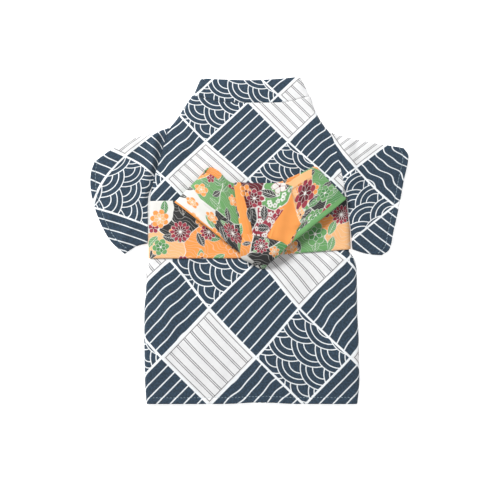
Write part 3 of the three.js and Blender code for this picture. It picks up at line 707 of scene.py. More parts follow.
@dataclass
class Sleeve:
    """A sleeve: a flattened tube, folded at the shoulder and sewn along its underarm edge."""

    armhole: tuple[tuple[float, float], ...]
    cuff: tuple[tuple[float, float], ...]
    folds: tuple[Fold, ...]
    creases: tuple[Fold, ...]
    shoulder_rise: float
    shoulder_peak: float
    underarm_rise: float
    print_map: Union[LatticeMap, PrintFit]
    mirrored: bool
    gather: float = 0.0
    along: int = 56
    lower: int = 26
    upper: int = 64
    cuff_rows: int = 15
    cuff_share: float = 0.86
    cuff_fold: float = 4.6
    cuff_soft: float = 0.4
    top_slack: float = 0.6
    stitch_sink: float = 0.15
    gather_reach: float = 0.12
    gather_y: tuple[float, float] = (36.0, 70.0)

    def plan(self, w: np.ndarray, v: np.ndarray) -> np.ndarray:
        """Place on the surface of a point a share w up the sleeve and v towards the cuff."""
        arm = through(np.array(self.armhole, float), w)
        end = through(np.array(self.cuff, float), w)
        place = lerp(arm, end, v[..., None])
        hump = np.sin(math.pi * v ** (math.log(0.5) / math.log(self.shoulder_peak)))
        lift = self.shoulder_rise * hump * smooth(0.55, 1, w)
        lift = lift + self.underarm_rise * np.sin(math.pi * v) * (1 - smooth(0, 0.3, w))
        return np.stack([place[..., 0], place[..., 1] + lift], axis=-1)

    def upper_z(self, w: np.ndarray, v: np.ndarray) -> np.ndarray:
        """Height of the upper layer's middle."""
        place = self.plan(w, v)
        x, y = place[..., 0], place[..., 1]
        joined = smooth(0.42, 0.5, w) * (back_z(x, y) - SLEEVE_REST_Z) * (1 - smooth(0, 0.12, v))
        edge = smooth(0, 0.08, w) * (1 - smooth(0.93, 1, w))
        folds = folds_lift(self.folds, x, y) * smooth(0, 0.1, v) * lerp(0.35, 1, edge)
        inside = smooth(0.02, 0.16, v) * smooth(0, 0.1, w) * (1 - smooth(0.9, 1, w))
        fine = folds_lift(self.creases, x, y) * inside
        return SLEEVE_REST_Z + joined + folds + fine

    def put(self, w: np.ndarray, z: Number, v: float) -> np.ndarray:
        """Points at shares w up the sleeve and v towards the cuff, at height z."""
        place = self.plan(w, np.full(w.shape, v))
        return np.column_stack([place, np.broadcast_to(z, w.shape)])

    def ring(self, v: float) -> np.ndarray:
        """One ring of the tube, a share v towards the cuff: underside, shoulder, upper side and underarm."""
        ends = self.plan(np.array([0.0, 1.0]), np.array([v, v]))
        inset = SLEEVE_ROLL / np.linalg.norm(ends[0] - ends[1])
        low = self.put(lerp(inset, 1 - inset, np.linspace(0, 1, self.lower)), FLOOR_Z, v)
        w = lerp(1 - inset, inset, np.linspace(0, 1, self.upper))
        high = self.put(w, self.upper_z(w, np.full(w.shape, v)), v)
        angles = np.radians(np.arange(-75, 76, 15))
        turns = []
        for edge_w, away, top_z, rise in ((1, -1, high[0, 2], angles), (0, 1, high[-1, 2], -angles)):
            radius = (top_z - FLOOR_Z) / 2
            z = FLOOR_Z + radius * (1 + np.sin(rise))
            turns.append(self.put(edge_w + away * inset * (1 - np.cos(rise)), z, v))
        return np.concatenate([low, turns[0], high, turns[1]])

    def cloth(self) -> Cloth:
        """The whole sleeve, as a ring that is open at the armhole and at the cuff."""
        near_cuff = np.linspace(self.cuff_share, 1, self.cuff_rows)
        shares = np.concatenate([np.linspace(0, self.cuff_share, self.along)[:-1], near_cuff])
        points = np.stack([self.ring(v) for v in shares])
        from_cuff = np.linalg.norm(points[-1:, :, :2] - points[:, :, :2], axis=2)
        on_top = points[..., 2] > SLEEVE_REST_Z - self.top_slack
        points[..., 2] += on_top * hem_lift(from_cuff, self.cuff_fold, self.cuff_soft)
        if self.mirrored:
            points = points[:, ::-1]
        bolt = points[..., :2]
        print_at = self.print_map.at(bolt[..., 0], bolt[..., 1])
        gathered = np.exp(-shares / self.gather_reach)[:, None] * smooth(*self.gather_y, bolt[..., 1])
        print_at[..., 0] += self.gather * gathered
        return Cloth(points, wrap(bolt), wrap(print_at), Lay.RING)

    def cuff_line(self) -> np.ndarray:
        """Points along the upper layer where the cuff is stitched."""
        w = np.linspace(0.04, 0.96, 60)
        end = self.plan(w, np.ones_like(w))
        back = self.plan(w, np.full_like(w, 0.9))
        reach = np.linalg.norm(end - back, axis=1) / 0.1
        v = 1 - self.cuff_fold / reach
        place = self.plan(w, v)
        return np.column_stack([place, self.upper_z(w, v) + WALL / 2 - self.stitch_sink])


LEFT_SLEEVE = Sleeve(
    armhole=((-94.6, -2.3), (-94.6, 18), (-94.6, 34), (-93.6, 43), (-91.2, 49), (-86.5, 65), (-80.9, 83),
             (-77.2, 96.8), (-74.6, 103.4)),
    cuff=((-115.4, -11.8), (-128.4, 0.4), (-140.3, 23.5), (-146.1, 45.5), (-146.1, 63), (-143, 72.2)),
    folds=(
        Fold(-88, 101, -88, 66, 6.5, 5.0), Fold(-88, 66, -100, 38, 7, 2.6), Fold(-100, 84, -122, 66, 5, -1.1),
        Fold(-118, 60, -128, 22, 7, 1.6), Fold(-104, 24, -118, 0, 5.5, 2.0),
    ),
    creases=(
        Fold(-85, 99, -97, 54, 3.6, 1.7), Fold(-97, 92, -104, 62, 2.6, 0.6),
        Fold(-106, 96, -112, 74, 3.2, 0.5), Fold(-96, 46, -106, 30, 2.6, -0.5),
        Fold(-128, 70, -138, 46, 3.0, 0.5), Fold(-112, 44, -120, 14, 3.2, 0.5),
        Fold(-132, 30, -124, 4, 3.0, 0.45), Fold(-98, 10, -108, -2, 2.6, 0.5),
    ),
    shoulder_rise=5.6, shoulder_peak=0.58, underarm_rise=2.0, print_map=LEFT_SLEEVE_PRINT, mirrored=False,
    gather=0.13,
)
RIGHT_SLEEVE = Sleeve(
    armhole=((94.8, -7.6), (93.2, 11), (91.4, 24), (89.8, 40), (87.2, 50), (83.2, 68), (79.6, 84),
             (76.4, 94.2), (74.0, 99.2)),
    cuff=((121.6, -13.0), (127.6, -8.4), (132.0, 9.7), (137.1, 32.7), (141.3, 55.7), (145.0, 72.5),
          (145.2, 79.3), (141.4, 84.8)),
    folds=(
        Fold(90, 88, 96, 56, 6, 2.6), Fold(96, 56, 104, 18, 7, 1.6), Fold(108, 84, 128, 62, 7, 1.8),
        Fold(104, 10, 122, -4, 5, 1.9), Fold(116, 44, 130, 30, 7, -0.9),
    ),
    creases=(
        Fold(84, 92, 93, 56, 3.4, 1.2), Fold(98, 40, 103, 14, 3.4, 0.8), Fold(100, 92, 108, 70, 3.0, 0.5),
        Fold(94, 44, 100, 26, 2.6, -0.5), Fold(122, 82, 136, 66, 3.0, 0.5), Fold(108, 50, 116, 22, 3.2, 0.5),
        Fold(128, 20, 118, 2, 3.0, 0.45), Fold(96, 14, 106, 0, 2.6, 0.5),
    ),
    shoulder_rise=-1.2, shoulder_peak=0.4, underarm_rise=-1.5, print_map=RIGHT_SLEEVE_PRINT, mirrored=True,
)


@dataclass
class Sash:
    """The sash: a flat ring round back and fronts."""

    across: int = 44
    over: int = 150
    under: int = 60
    left_x: float = -92.0
    right_x: float = 90.0
    crease_inset: float = 10.0

    def place(self, x: Number, z: Number, v: float) -> np.ndarray:
        """Points at places x across the body and heights z, a share v up the sash."""
        x = np.atleast_1d(x)
        y = lerp(SASH_EDGES.read("bottom", x), SASH_EDGES.read("top", x), v)
        return np.column_stack([x, y, np.broadcast_to(z, x.shape)])

    def side(self, x: float, away: int, v: float) -> np.ndarray:
        """The turn of one row round a side of the body, from the top down."""
        seam = float(seam_z(np.array(0.0), self.place(0.0, 0, v)[0, 1]))
        top_z = BACK_REST_Z + SASH_LIFT
        centre_x = x + away * ROLL
        reach = ROLL + SASH_LIFT
        high = np.radians(np.arange(80, -1, -10))
        low = np.radians([11, 22, 34, 45, 57, 68, 79])
        lower = seam - FLOOR_Z
        lower_x = centre_x - away * (reach - lower)
        above = self.place(centre_x - away * reach * np.cos(high), seam + (top_z - seam) * np.sin(high), v)
        below = self.place(lower_x - away * lower * np.cos(low), seam - lower * np.sin(low), v)
        return np.concatenate([above, below])

    def ring_row(self, v: float) -> np.ndarray:
        """One row of the ring, a share v up from its lower edge."""
        left = float(LEFT_SIDE.read("x", self.place(self.left_x, 0, v)[0, 1]))
        right = float(RIGHT_SIDE.read("x", self.place(self.right_x, 0, v)[0, 1]))
        x = np.linspace(left + ROLL, right - ROLL, self.over)
        top = self.place(x, BACK_REST_Z + SASH_LIFT, v)
        inside = smooth(0, self.crease_inset, np.minimum(x - left, right - x) - ROLL)
        top[:, 2] += inside * folds_lift(SASH_CREASES, top[:, 0], top[:, 1])
        bottom = self.place(np.linspace(right - 1, left + 1, self.under), FLOOR_Z, v)
        return np.concatenate([top, self.side(right, -1, v), bottom, self.side(left, 1, v)[::-1]])

    def cloth(self) -> Cloth:
        """The whole sash, as a ring that starts under the body, where the print's ends meet."""
        points = np.stack([self.ring_row(v) for v in np.linspace(0, 1, self.across + 1)])
        lengths = arc_lengths(points, ring=True) + points[:, :1, 0]
        start = self.over + self.under
        around = lengths[:, -1:] - lengths[:, :1]
        points = np.roll(points, -start, axis=1)
        lengths = np.concatenate([lengths[:, start:-1] - around, lengths[:, :start + 1]], axis=1)
        height = wrap(points[..., 1] - SASH_EDGES.read("bottom", points[..., 0]))
        bolt = np.stack([lengths, height], axis=-1)
        return Cloth(points, bolt, bolt.copy(), Lay.RING)


# The bow's ribbon, line by line across it, from its lower edge (low) to its upper edge (top)
BOW_ROWS = Table("step low_x low_y low_z top_x top_y top_z", (
    (0, -68.6, 35.0, 12.2, -42.0, 61.6, 12.4), (1, -63, 31.0, 14.0, -39.5, 61.4, 14.6),
    (2, -50, 20.9, 14.6, -33.5, 58.6, 15.6), (3, -34, 8.5, 14.2, -25.5, 52.6, 15.4),
    (4, -18, -4.2, 12.8, -18, 47.5, 14.4), (5, -6.5, -12.4, 11.6, -11.5, 45.5, 13.2),
    (6, -1.2, -13.4, 12.2, -5.8, 46.8, 14.3), (7, -5.6, -12.8, 13.7, -12.2, 50.6, 16.2),
    (8, -5.2, -12.6, 15.1, -14.2, 52.3, 18.4), (9, -1.2, -13.0, 15.6, -8.6, 52.6, 18.8),
    (10, 5, -13.6, 15.4, 2, 52.2, 16.4), (11, 12, -13.6, 15.4, 16, 52.0, 16.6),
    (12, 19, -13.0, 15.2, 28, 52.2, 17.2), (13, 24, -11.4, 14.6, 35, 52.8, 16.6),
    (14, 31, -7.0, 14.6, 41, 56.6, 16.2), (15, 45, 3.4, 15.4, 49, 61.6, 16.6),
    (16, 62, 17.2, 15.8, 55.5, 64.6, 16.2), (17, 79, 31.0, 15.2, 59.6, 65.6, 15.0),
    (18, 87.6, 38.4, 12.8, 62.2, 64.8, 12.8), (19, 78, 31.0, 9.6, 58.6, 67.4, 9.8),
    (20, 45, 4.6, 8.9, 44, 60.6, 9.2), (21, 12, -12.8, 8.8, 14, 49.4, 8.9),
    (22, -22, 0.2, 8.9, -16, 52.4, 9.0), (23, -48, 20.4, 9.2, -29, 63.4, 9.5),
    (24, -63, 31.6, 9.8, -37.4, 66.8, 10.0),
))
KNOT_ROWS = Table("step left_x left_y left_z middle_x middle_y middle_z right_x right_y right_z", (
    (0, -5.6, 6.0, 19.4, 12, 2.6, 19.0, 29.6, -1.6, 17.4),
    (1, -7.4, -1.0, 19.2, 12, -4.0, 20.2, 33.6, -5.0, 17.4),
    (2, -8.6, -8.6, 18.0, 12, -11.6, 19.6, 31.0, -8.4, 17.3),
    (3, -8.0, -15.6, 14.9, 11.4, -17.8, 16.4, 24.0, -15.2, 15.6),
    (4, 0.6, -20.2, 10.6, 11.0, -21.8, 11.8, 17.6, -20.4, 11.2),
    (5, 7.4, -24.6, 7.5, 11.0, -25.6, 7.7, 13.8, -24.8, 7.5),
))


@dataclass
class Bow:
    """The bow: a ribbon loop, pleated to the knot that gathers it at its lower middle."""

    around: int = 420
    across: int = 70
    crown: float = 1.4
    front_steps: int = 17
    width: float = 58.0
    knot_fine: int = 60
    knot_print: tuple[float, float] = (300.0, 20.0)
    knot_ripples: tuple[tuple[float, float, float], ...] = ((19.0, 0.6, 0.28), (9.0, 2.0, 0.3))
    pleats: tuple[Union[Fold, Tuck], ...] = (
        Fold(-12, 8, -46, 46, 5.0, 1.0), Fold(-17, -3, -64, 36, 2.2, 0.9), Fold(-22, 6, -58, 36, 2.8, -0.7),
        Fold(8, 4, 14, 50, 5.0, -0.7), Fold(26, 0, 36, 40, 5.0, 0.8), Fold(52, 14, 66, 50, 6.0, 0.7),
        Fold(40, 2, 80, 33, 2.0, 1.3), Fold(44, 10, 76, 38, 2.6, -1.0), Fold(-30, 24, -54, 56, 3.0, -0.5),
        Tuck(-41, 33, -6, 4, 8.0, 1.3), Tuck(-12.9, 51, 0, 4, 3.4, 1.5), Tuck(5.5, 4, -7.4, 48.3, 3.4, 2.1),
        Tuck(32.2, 46.5, 18.9, 5.1, 7.0, 1.2), Tuck(47.8, 17.9, 35.9, 48, 7.0, 2.2),
        Tuck(36.8, -2.3, 47.8, 17.9, 7.0, 2.2), Tuck(37.7, 46.5, 60.7, 60.3, 6.0, 1.4),
        Fold(21, 6, 27, 46, 3.6, -0.9), Fold(2, 8, 2, 44, 2.2, -0.7), Fold(46, 12, 62, 30, 3.0, -0.7),
        Fold(-24, 12, -34, 54, 3.2, -0.7), Fold(56, 40, 70, 54, 2.6, -0.6),
    )

    def ribbon(self) -> Cloth:
        """The ribbon loop."""
        data = np.array(BOW_ROWS.rows, float)
        share = np.linspace(0, 1, self.around, endpoint=False)
        low = through(data[:, 1:4], share, closed=True, even=True)
        top = through(data[:, 4:7], share, closed=True, even=True)
        u = np.linspace(0, 1, self.across + 1)[:, None, None]
        points = lerp(low[None], top[None], u)
        front_share = self.front_steps / len(data)
        front = np.where(share < front_share, np.sin(math.pi * share / front_share), 0.0)[None]
        points[..., 2] += self.crown * front * np.sin(math.pi * u[..., 0])
        facing = np.sqrt(np.clip(front, 0, 1))
        points[..., 2] += facing * folds_lift(self.pleats, points[..., 0], points[..., 1])
        middle = arc_lengths(points[self.across // 2][None], ring=True)
        width = self.width * np.linspace(0, 1, self.across + 1)[:, None]
        bolt = np.stack(np.broadcast_arrays(middle, width), axis=-1)
        return Cloth(points, bolt, bolt.copy(), Lay.RING)

    def knot(self) -> Cloth:
        """The knot's cloth, from over the ribbon to its hanging tip."""
        data = np.array(KNOT_ROWS.rows, float)
        share = 1 - np.linspace(0, 1, self.knot_fine)
        left, middle, right = (through(data[:, k:k + 3], share)[:, None] for k in (1, 4, 7))
        u = np.linspace(0, 1, self.knot_fine)[None, :, None]
        points = left * (1 - u) * (1 - 2 * u) + middle * 4 * u * (1 - u) + right * u * (2 * u - 1)
        ripples = (np.sin(u[..., 0] * turn + start) * height for turn, start, height in self.knot_ripples)
        radiating = sum(ripples)
        fade = np.sin(math.pi * np.clip(share, 0, 1))[:, None] ** 0.7
        points[..., 2] += radiating * fade
        bolt = points[..., :2] + np.array(self.knot_print)
        return Cloth(points, bolt, bolt.copy())


class Value:
    """A number socket of a material, whose operators add Math nodes."""

    def __init__(self, shading: "Shading", socket: bpy.types.NodeSocket) -> None:
        """Wraps a socket of a material under construction."""
        self.shading = shading
        self.socket = socket

    def __add__(self, other: "Term") -> "Value":
        """Sum."""
        return self.shading.maths("ADD", self, other)

    __radd__ = __add__

    def __mul__(self, other: "Term") -> "Value":
        """Product."""
        return self.shading.maths("MULTIPLY", self, other)

    __rmul__ = __mul__

    def __sub__(self, other: "Term") -> "Value":
        """Difference."""
        return self.shading.maths("SUBTRACT", self, other)

    def __rsub__(self, other: "Term") -> "Value":
        """Difference from a plain number."""
        return self.shading.maths("SUBTRACT", other, self)

    def __truediv__(self, other: "Term") -> "Value":
        """Quotient."""
        return self.shading.maths("DIVIDE", self, other)

    def __abs__(self) -> "Value":
        """Size without its sign."""
        return self.shading.maths("ABSOLUTE", self)

    def __pow__(self, other: float) -> "Value":
        """Power."""
        return self.shading.maths("POWER", self, other)


Term = Union[Value, float]


def add_node(tree: bpy.types.NodeTree, kind: str, settings: dict, sockets: dict) -> bpy.types.Node:
    """Adds one node to a tree.

    Args:
        tree: the tree of a material or of Geometry Nodes.
        kind: the node's type.
        settings: its properties, set first; a list of (place, colour) as stops fills a ramp.
        sockets: values or links of its inputs, by name or number.

    Returns:
        The new node.
    """
    node = tree.nodes.new(kind)
    for key, value in settings.items():
        if key == "stops":
            fill_ramp(node.color_ramp, value)
        else:
            setattr(node, key, value)
    for key, value in sockets.items():
        source = value.socket if isinstance(value, Value) else value
        if isinstance(source, bpy.types.NodeSocket):
            tree.links.new(source, node.inputs[key])
        else:
            node.inputs[key].default_value = source
    return node


def fill_ramp(ramp: bpy.types.ColorRamp, stops: Stops) -> None:
    """Sets the stops of a new ramp, which has two, each held until the next."""
    ramp.interpolation = "CONSTANT"
    for k, (place, colour) in enumerate(stops):
        stop = ramp.elements[k] if k < 2 else ramp.elements.new(place)
        stop.position = place
        stop.color = colour


class Shading:
    """The nodes of one material."""

    def __init__(self, name: str) -> None:
        """Starts an empty material of that name."""
        self.material = bpy.data.materials.new(name)
        self.material.use_nodes = True
        self.tree = self.material.node_tree
        self.tree.nodes.clear()

    def node(self, kind: str, settings: dict, sockets: dict) -> bpy.types.Node:
        """Adds one node, as add_node does."""
        return add_node(self.tree, kind, settings, sockets)

    def maths(self, operation: str, *terms: Term) -> Value:
        """Adds a Math node on numbers."""
        settings = {"operation": operation}
        return Value(self, self.node("ShaderNodeMath", settings, dict(enumerate(terms))).outputs[0])

    def most(self, a: Term, b: Term) -> Value:
        """The larger of two numbers."""
        return self.maths("MAXIMUM", a, b)

    def least(self, a: Term, b: Term) -> Value:
        """The smaller of two numbers."""
        return self.maths("MINIMUM", a, b)

    def length(self, x: Value, y: Value) -> Value:
        """The length of a flat vector."""
        return self.maths("SQRT", x * x + y * y)

    def measure(self, operation: str, a: object, b: object) -> Value:
        """A number that a Vector Math node works out from two vectors."""
        node = self.node("ShaderNodeVectorMath", {"operation": operation}, {0: a, 1: b})
        return Value(self, node.outputs["Value"])

    def step(self, value: Term, low: float, high: float) -> Value:
        """Rises softly from 0 at low to 1 at high."""
        settings = {"interpolation_type": "SMOOTHSTEP"}
        sockets = {"Value": value, "From Min": low, "From Max": high}
        return Value(self, self.node("ShaderNodeMapRange", settings, sockets).outputs[0])

    def below(self, value: Term, limit: float, soft: float) -> Value:
        """1 where value is under limit, with a soft edge."""
        return 1.0 - self.step(value, limit - soft, limit + soft)

    def mix(self, share: Term, a: object, b: object) -> bpy.types.NodeSocket:
        """Mixes two colours."""
        return self.node("ShaderNodeMix", {"data_type": "RGBA"}, {0: share, 6: a, 7: b}).outputs[2]

    def ramp(self, stops: Stops, at: Term) -> bpy.types.NodeSocket:
        """The colour of a ramp at a place along it."""
        return self.node("ShaderNodeValToRGB", {"stops": stops}, {0: at}).outputs[0]

    def mix_vectors(self, share: Term, a: object, b: object) -> bpy.types.NodeSocket:
        """Mixes two vectors."""
        return self.node("ShaderNodeMix", {"data_type": "VECTOR"}, {0: share, 4: a, 5: b}).outputs[1]

    def split(self, vector: bpy.types.NodeSocket) -> list[Value]:
        """The three numbers of a vector."""
        return [Value(self, out) for out in self.node("ShaderNodeSeparateXYZ", {}, {0: vector}).outputs]

    def join(self, x: Term, y: Term, z: Term = 0.0) -> bpy.types.NodeSocket:
        """A vector of three numbers."""
        return self.node("ShaderNodeCombineXYZ", {}, {0: x, 1: y, 2: z}).outputs[0]

    def place(self, layer: str) -> list[Value]:
        """Place on the piece's own UV map of that name."""
        return self.split(self.node("ShaderNodeUVMap", {"uv_map": layer}, {}).outputs[0])[:2]

    def to_line(self, value: Term, pitch: float, offset: float = 0.0) -> Value:
        """Distance to the nearest of the lines that stand a pitch apart."""
        return self.maths("PINGPONG", value - offset, pitch / 2)

    def noise(self, vector: object, scale: float, detail: float) -> Value:
        """Soft noise from 0 to 1."""
        sockets = {"Vector": vector, "Scale": scale, "Detail": detail, "Roughness": 0.5}
        return Value(self, self.node("ShaderNodeTexNoise", {"noise_dimensions": "3D"}, sockets).outputs[0])

    def bump(self, strength: float, distance: float, height: Value) -> bpy.types.NodeSocket:
        """A normal that follows a height."""
        sockets = {"Strength": strength, "Distance": distance, "Height": height}
        return self.node("ShaderNodeBump", {}, sockets).outputs[0]

    def finish(self, sockets: dict) -> bpy.types.Material:
        """Adds the surface with these sockets, and returns the finished material."""
        surface = self.node("ShaderNodeBsdfPrincipled", {}, sockets)
        self.node("ShaderNodeOutputMaterial", {}, {0: surface.outputs[0]})
        return self.material


@dataclass(frozen=True)
class Weave:
    """A plain weave and the way that cloth takes light. pitch and depth are in millimetres."""

    pitch: float
    depth: float
    roughness: float
    slack: float
    sheen: float = 0.12
    strength: float = 0.7
    slub_scale: float = 900.0
    wrinkle_scale: float = 34.0
    mottle_scale: float = 130.0
    mottle: tuple[float, float] = (0.93, 0.1)
    rough_spread: tuple[float, float] = (-0.12, 0.2)

    def finish(self, s: Shading, colour: bpy.types.NodeSocket) -> bpy.types.Material:
        """Adds the weave, its unevenness and the surface, and returns the material."""
        u, v = s.place("bolt")
        wave = FULL_TURN / self.pitch
        threads = s.maths("SINE", u * wave) * s.maths("SINE", v * wave)
        here = s.node("ShaderNodeTexCoord", {}, {}).outputs["Object"]
        slub = s.noise(here, self.slub_scale, 2.0)
        wrinkle = s.noise(here, self.wrinkle_scale, 3.0)
        shade = self.mottle[0] + self.mottle[1] * s.noise(here, self.mottle_scale, 4.0)
        rough = self.roughness + self.rough_spread[0] + self.rough_spread[1] * slub
        height = threads * self.depth + slub * self.depth + wrinkle * self.slack
        shaded = s.node("ShaderNodeVectorMath", {"operation": "SCALE"}, {0: colour, "Scale": shade})
        return s.finish({
            "Base Color": shaded.outputs[0], "Roughness": rough, "Normal": s.bump(self.strength, MM, height),
            "Sheen Weight": self.sheen, "Sheen Roughness": 0.5, "Specular IOR Level": 0.25,
        })


KIMONO_WEAVE = Weave(pitch=0.8, depth=0.05, roughness=0.82, slack=1.5)
SASH_WEAVE = Weave(pitch=0.7, depth=0.04, roughness=0.74, slack=1.1, sheen=0.08)

INK = (0.039, 0.071, 0.113, 1.0)
DEEP_INK = (0.028, 0.046, 0.066, 1.0)
CHALK = (0.9, 0.93, 0.95, 1.0)
PALE = (0.82, 0.82, 0.825, 1.0)
GREY = (0.03, 0.03, 0.035, 1.0)


@dataclass(frozen=True)
class LatticePrint:
    """The kimono's print: a lattice of squares, filled in turn with stripes, double lines, arcs and waves.

    Widths of borders, stripes and hair lines are shares of a square. The arcs are in millimetres.
    """

    name: str
    arc_turn: float = 0.0
    wave: float = 0.013
    straight_waves_swapped: bool = False
    border: float = 0.0165
    border_soft: float = 0.003
    outline: float = 0.0425
    outline_soft: float = 0.002
    stripes: int = 7
    stripe: float = 0.0095
    stripe_soft: float = 0.004
    long_wave: tuple[float, float] = (1.35, 0.3)
    short_wave: tuple[float, float] = (2.9, 1.1)
    short_share: float = 0.45
    pair_gap: float = 0.0135
    hair: float = 0.0052
    hair_soft: float = 0.0025
    dye_scale: float = 34.0
    dye_edges: tuple[float, float] = (0.36, 0.66)
    half_across: float = 40.0
    half_up: float = 43.0
    first_scale: tuple[float, float] = (44.1, 31.9)
    scale_radius: float = 20.2
    rings: tuple[float, ...] = (0.46, 0.74)
    ring_width: float = 0.92
    ring_soft: float = 0.15
    scale_pitch: float = 20.6
    row_pitch: float = 18.5
    row_shift: float = -8.9
    row_lean: float = math.radians(-15.2)

    def stripes_mask(self, s: Shading, a: Value, b: Value, waves: Value) -> Value:
        """Stripes along the print's second direction, bent into uneven waves where waves is 1."""
        long_wave, short_wave = (
            s.maths("SINE", (b * turns[0] + a * turns[1]) * FULL_TURN)
            for turns in (self.long_wave, self.short_wave)
        )
        bend = (long_wave + self.short_share * short_wave) * waves * self.wave
        return s.below(s.to_line(a + bend, 1 / self.stripes), self.stripe, self.stripe_soft)

    def pairs_mask(self, s: Shading, b: Value) -> Value:
        """Pairs of hair lines along the print's first direction."""
        beside = abs(s.to_line(b, 1 / self.stripes) - self.pair_gap)
        return s.below(beside, self.hair, self.hair_soft)

    def scale_row(self, s: Shading, along: Value, row: Value, down: Value) -> tuple[Value, Value]:
        """One row of scales: the mask of its rings, and where it covers what lies under it.

        Args:
            s: the material under construction.
            along: place along the rows.
            row: the row's number.
            down: place below the line of the row's centres.

        Returns:
            The mask of the rings and the mask of the scales.
        """
        radius = self.scale_radius
        spare = radius * radius - down * down
        half = s.maths("SQRT", s.most(spare, 0.0))
        place = along - row * self.row_shift
        nearest = s.maths("FLOOR", (place + half) / self.scale_pitch)
        beside = place - nearest * self.scale_pitch
        reach = s.length(beside, down)
        edge = radius - self.ring_width
        lines = s.step(reach, edge - self.ring_soft, edge + self.ring_soft)
        for ring in self.rings:
            lines = s.most(lines, s.below(abs(reach - ring * radius), self.ring_width / 2, self.ring_soft))
        covered = s.step(half - beside, -0.05, 0.1) * s.step(spare, 0.0, 1.0)
        return lines, covered

    def arcs_mask(self, s: Shading, a: Value, b: Value) -> Value:
        """Hanging scales of rings. Upper rows lie over lower ones, and each scale over its left neighbour."""
        in_a, in_b = a - s.maths("FLOOR", a), b - s.maths("FLOOR", b)
        x = (in_a + in_b) * self.half_across - self.first_scale[0]
        y = (in_b - in_a) * self.half_up - self.first_scale[1]
        lean = self.row_lean + self.arc_turn
        cos, sin = math.cos(lean), math.sin(lean)
        along = x * cos + y * sin
        rows_down = (x * sin - y * cos) / self.row_pitch
        first = s.maths("FLOOR", rows_down)
        mask, _ = self.scale_row(s, along, first + 1, (rows_down - first - 1) * self.row_pitch)
        for over in (0, -1):
            down = (rows_down - first - over) * self.row_pitch
            lines, covered = self.scale_row(s, along, first + over, down)
            mask = mask + (lines - mask) * covered
        return mask

    def material(self) -> bpy.types.Material:
        """The print on its woven cloth."""
        s = Shading(self.name)
        a, b = s.place("print")
        odd_a = s.maths("FLOORED_MODULO", s.maths("FLOOR", a), 2.0)
        odd_b = s.maths("FLOORED_MODULO", s.maths("FLOOR", b), 2.0)
        waves = 1 - odd_a if self.straight_waves_swapped else odd_a
        is_pale = (1 - odd_a) * odd_b
        is_arcs = odd_a * (1 - odd_b)
        stripes = self.stripes_mask(s, a, b, waves)
        arcs = self.arcs_mask(s, a, b)
        lines = stripes + (arcs - stripes) * is_arcs
        to_border = s.least(s.to_line(a, 1.0), s.to_line(b, 1.0))
        outline = s.below(abs(to_border - self.outline), self.hair, self.hair_soft)
        inside = s.step(to_border, self.outline - self.outline_soft, self.outline)
        grey = s.most(self.pairs_mask(s, b) * inside, outline)
        dye = s.noise(s.join(a * self.dye_scale, b * self.dye_scale), 1.0, 3.0)
        dyed = s.step(dye, *self.dye_edges)
        printed = s.mix(lines * 0.95, s.mix(dyed, DEEP_INK, INK), CHALK)
        pale = s.mix(grey * 0.9, PALE, GREY)
        colour = s.mix(is_pale, printed, pale)
        colour = s.mix(s.below(to_border, self.border, self.border_soft), colour, CHALK)
        return KIMONO_WEAVE.finish(s, colour)


ORANGE = (0.9, 0.34, 0.085, 1.0)
PEACH = (0.9, 0.5, 0.23, 1.0)
GREEN = (0.15, 0.36, 0.13, 1.0)
LEAF = (0.09, 0.27, 0.09, 1.0)
CRIMSON = (0.34, 0.045, 0.07, 1.0)
WINE = (0.13, 0.02, 0.03, 1.0)
IVORY = (0.8, 0.79, 0.75, 1.0)
SLATE = (0.035, 0.035, 0.035, 1.0)

# Colours of leaves, blossoms and large flowers, and of the lines on them, by a number from 0 to 1
LEAF_HUES = ((0.0, LEAF), (0.22, SLATE), (0.42, GREEN), (0.56, SLATE))
BLOSSOM_HUES = ((0.0, ORANGE), (0.26, IVORY), (0.4, CRIMSON), (0.5, PEACH))
BLOSSOM_LINES = ((0.0, IVORY), (0.26, CRIMSON), (0.4, IVORY))
OUTER_HUES = ((0.0, CRIMSON), (0.3, WINE), (0.5, ORANGE), (0.7, IVORY), (0.85, GREEN))
INNER_HUES = ((0.0, WINE), (0.3, CRIMSON), (0.5, PEACH), (0.7, PEACH), (0.85, LEAF))
BLOOM_LINES = ((0.0, IVORY), (0.7, CRIMSON), (0.85, IVORY))


@dataclass(frozen=True)
class Pen:
    """A drawn line or dot: how far it reaches, and how soft its edge is, in millimetres."""

    reach: float
    soft: float = 0.12

    def draw(self, s: Shading, away: Term) -> Value:
        """The mask of the line, from the distance to its middle."""
        return s.below(away, self.reach, self.soft)


PATCH_EDGE = Pen(0.75, 0.2)
GROUND_HAIR = Pen(0.2)
PETAL_JOINT = Pen(0.2)
PETAL_EDGE = Pen(0.36, 0.14)
LEAF_RIB = Pen(0.2)
LEAF_VEIN = Pen(0.17, 0.1)
LEAF_EDGE = Pen(0.3)
PETAL_HEART = Pen(0.55, 0.15)
BLOSSOM_HEART = Pen(0.9, 0.2)
# As a share of the flower's radius
BLOOM_HEART = Pen(0.12, 0.03)


@dataclass(frozen=True)
class Patch:
    """A patch of the sash print's ground, round a place on the cloth, in millimetres.

    sprinkled is 1 where it is strewn with small pale petals.
    """

    x: float
    y: float
    size: float
    colour: Colour
    sprinkled: float = 0.0


@dataclass(frozen=True)
class Facet:
    """A plain face of the folded ribbon, by its corners on the cloth, in millimetres and anticlockwise."""

    colour: Colour
    corners: tuple[tuple[float, float], ...]
    bare: bool = True


@dataclass(frozen=True)
class Bloom:
    """One large flower of the sash print, in millimetres on the cloth. hue picks its colour from the ramp."""

    x: float
    y: float
    radius: float
    petals: int
    hue: float


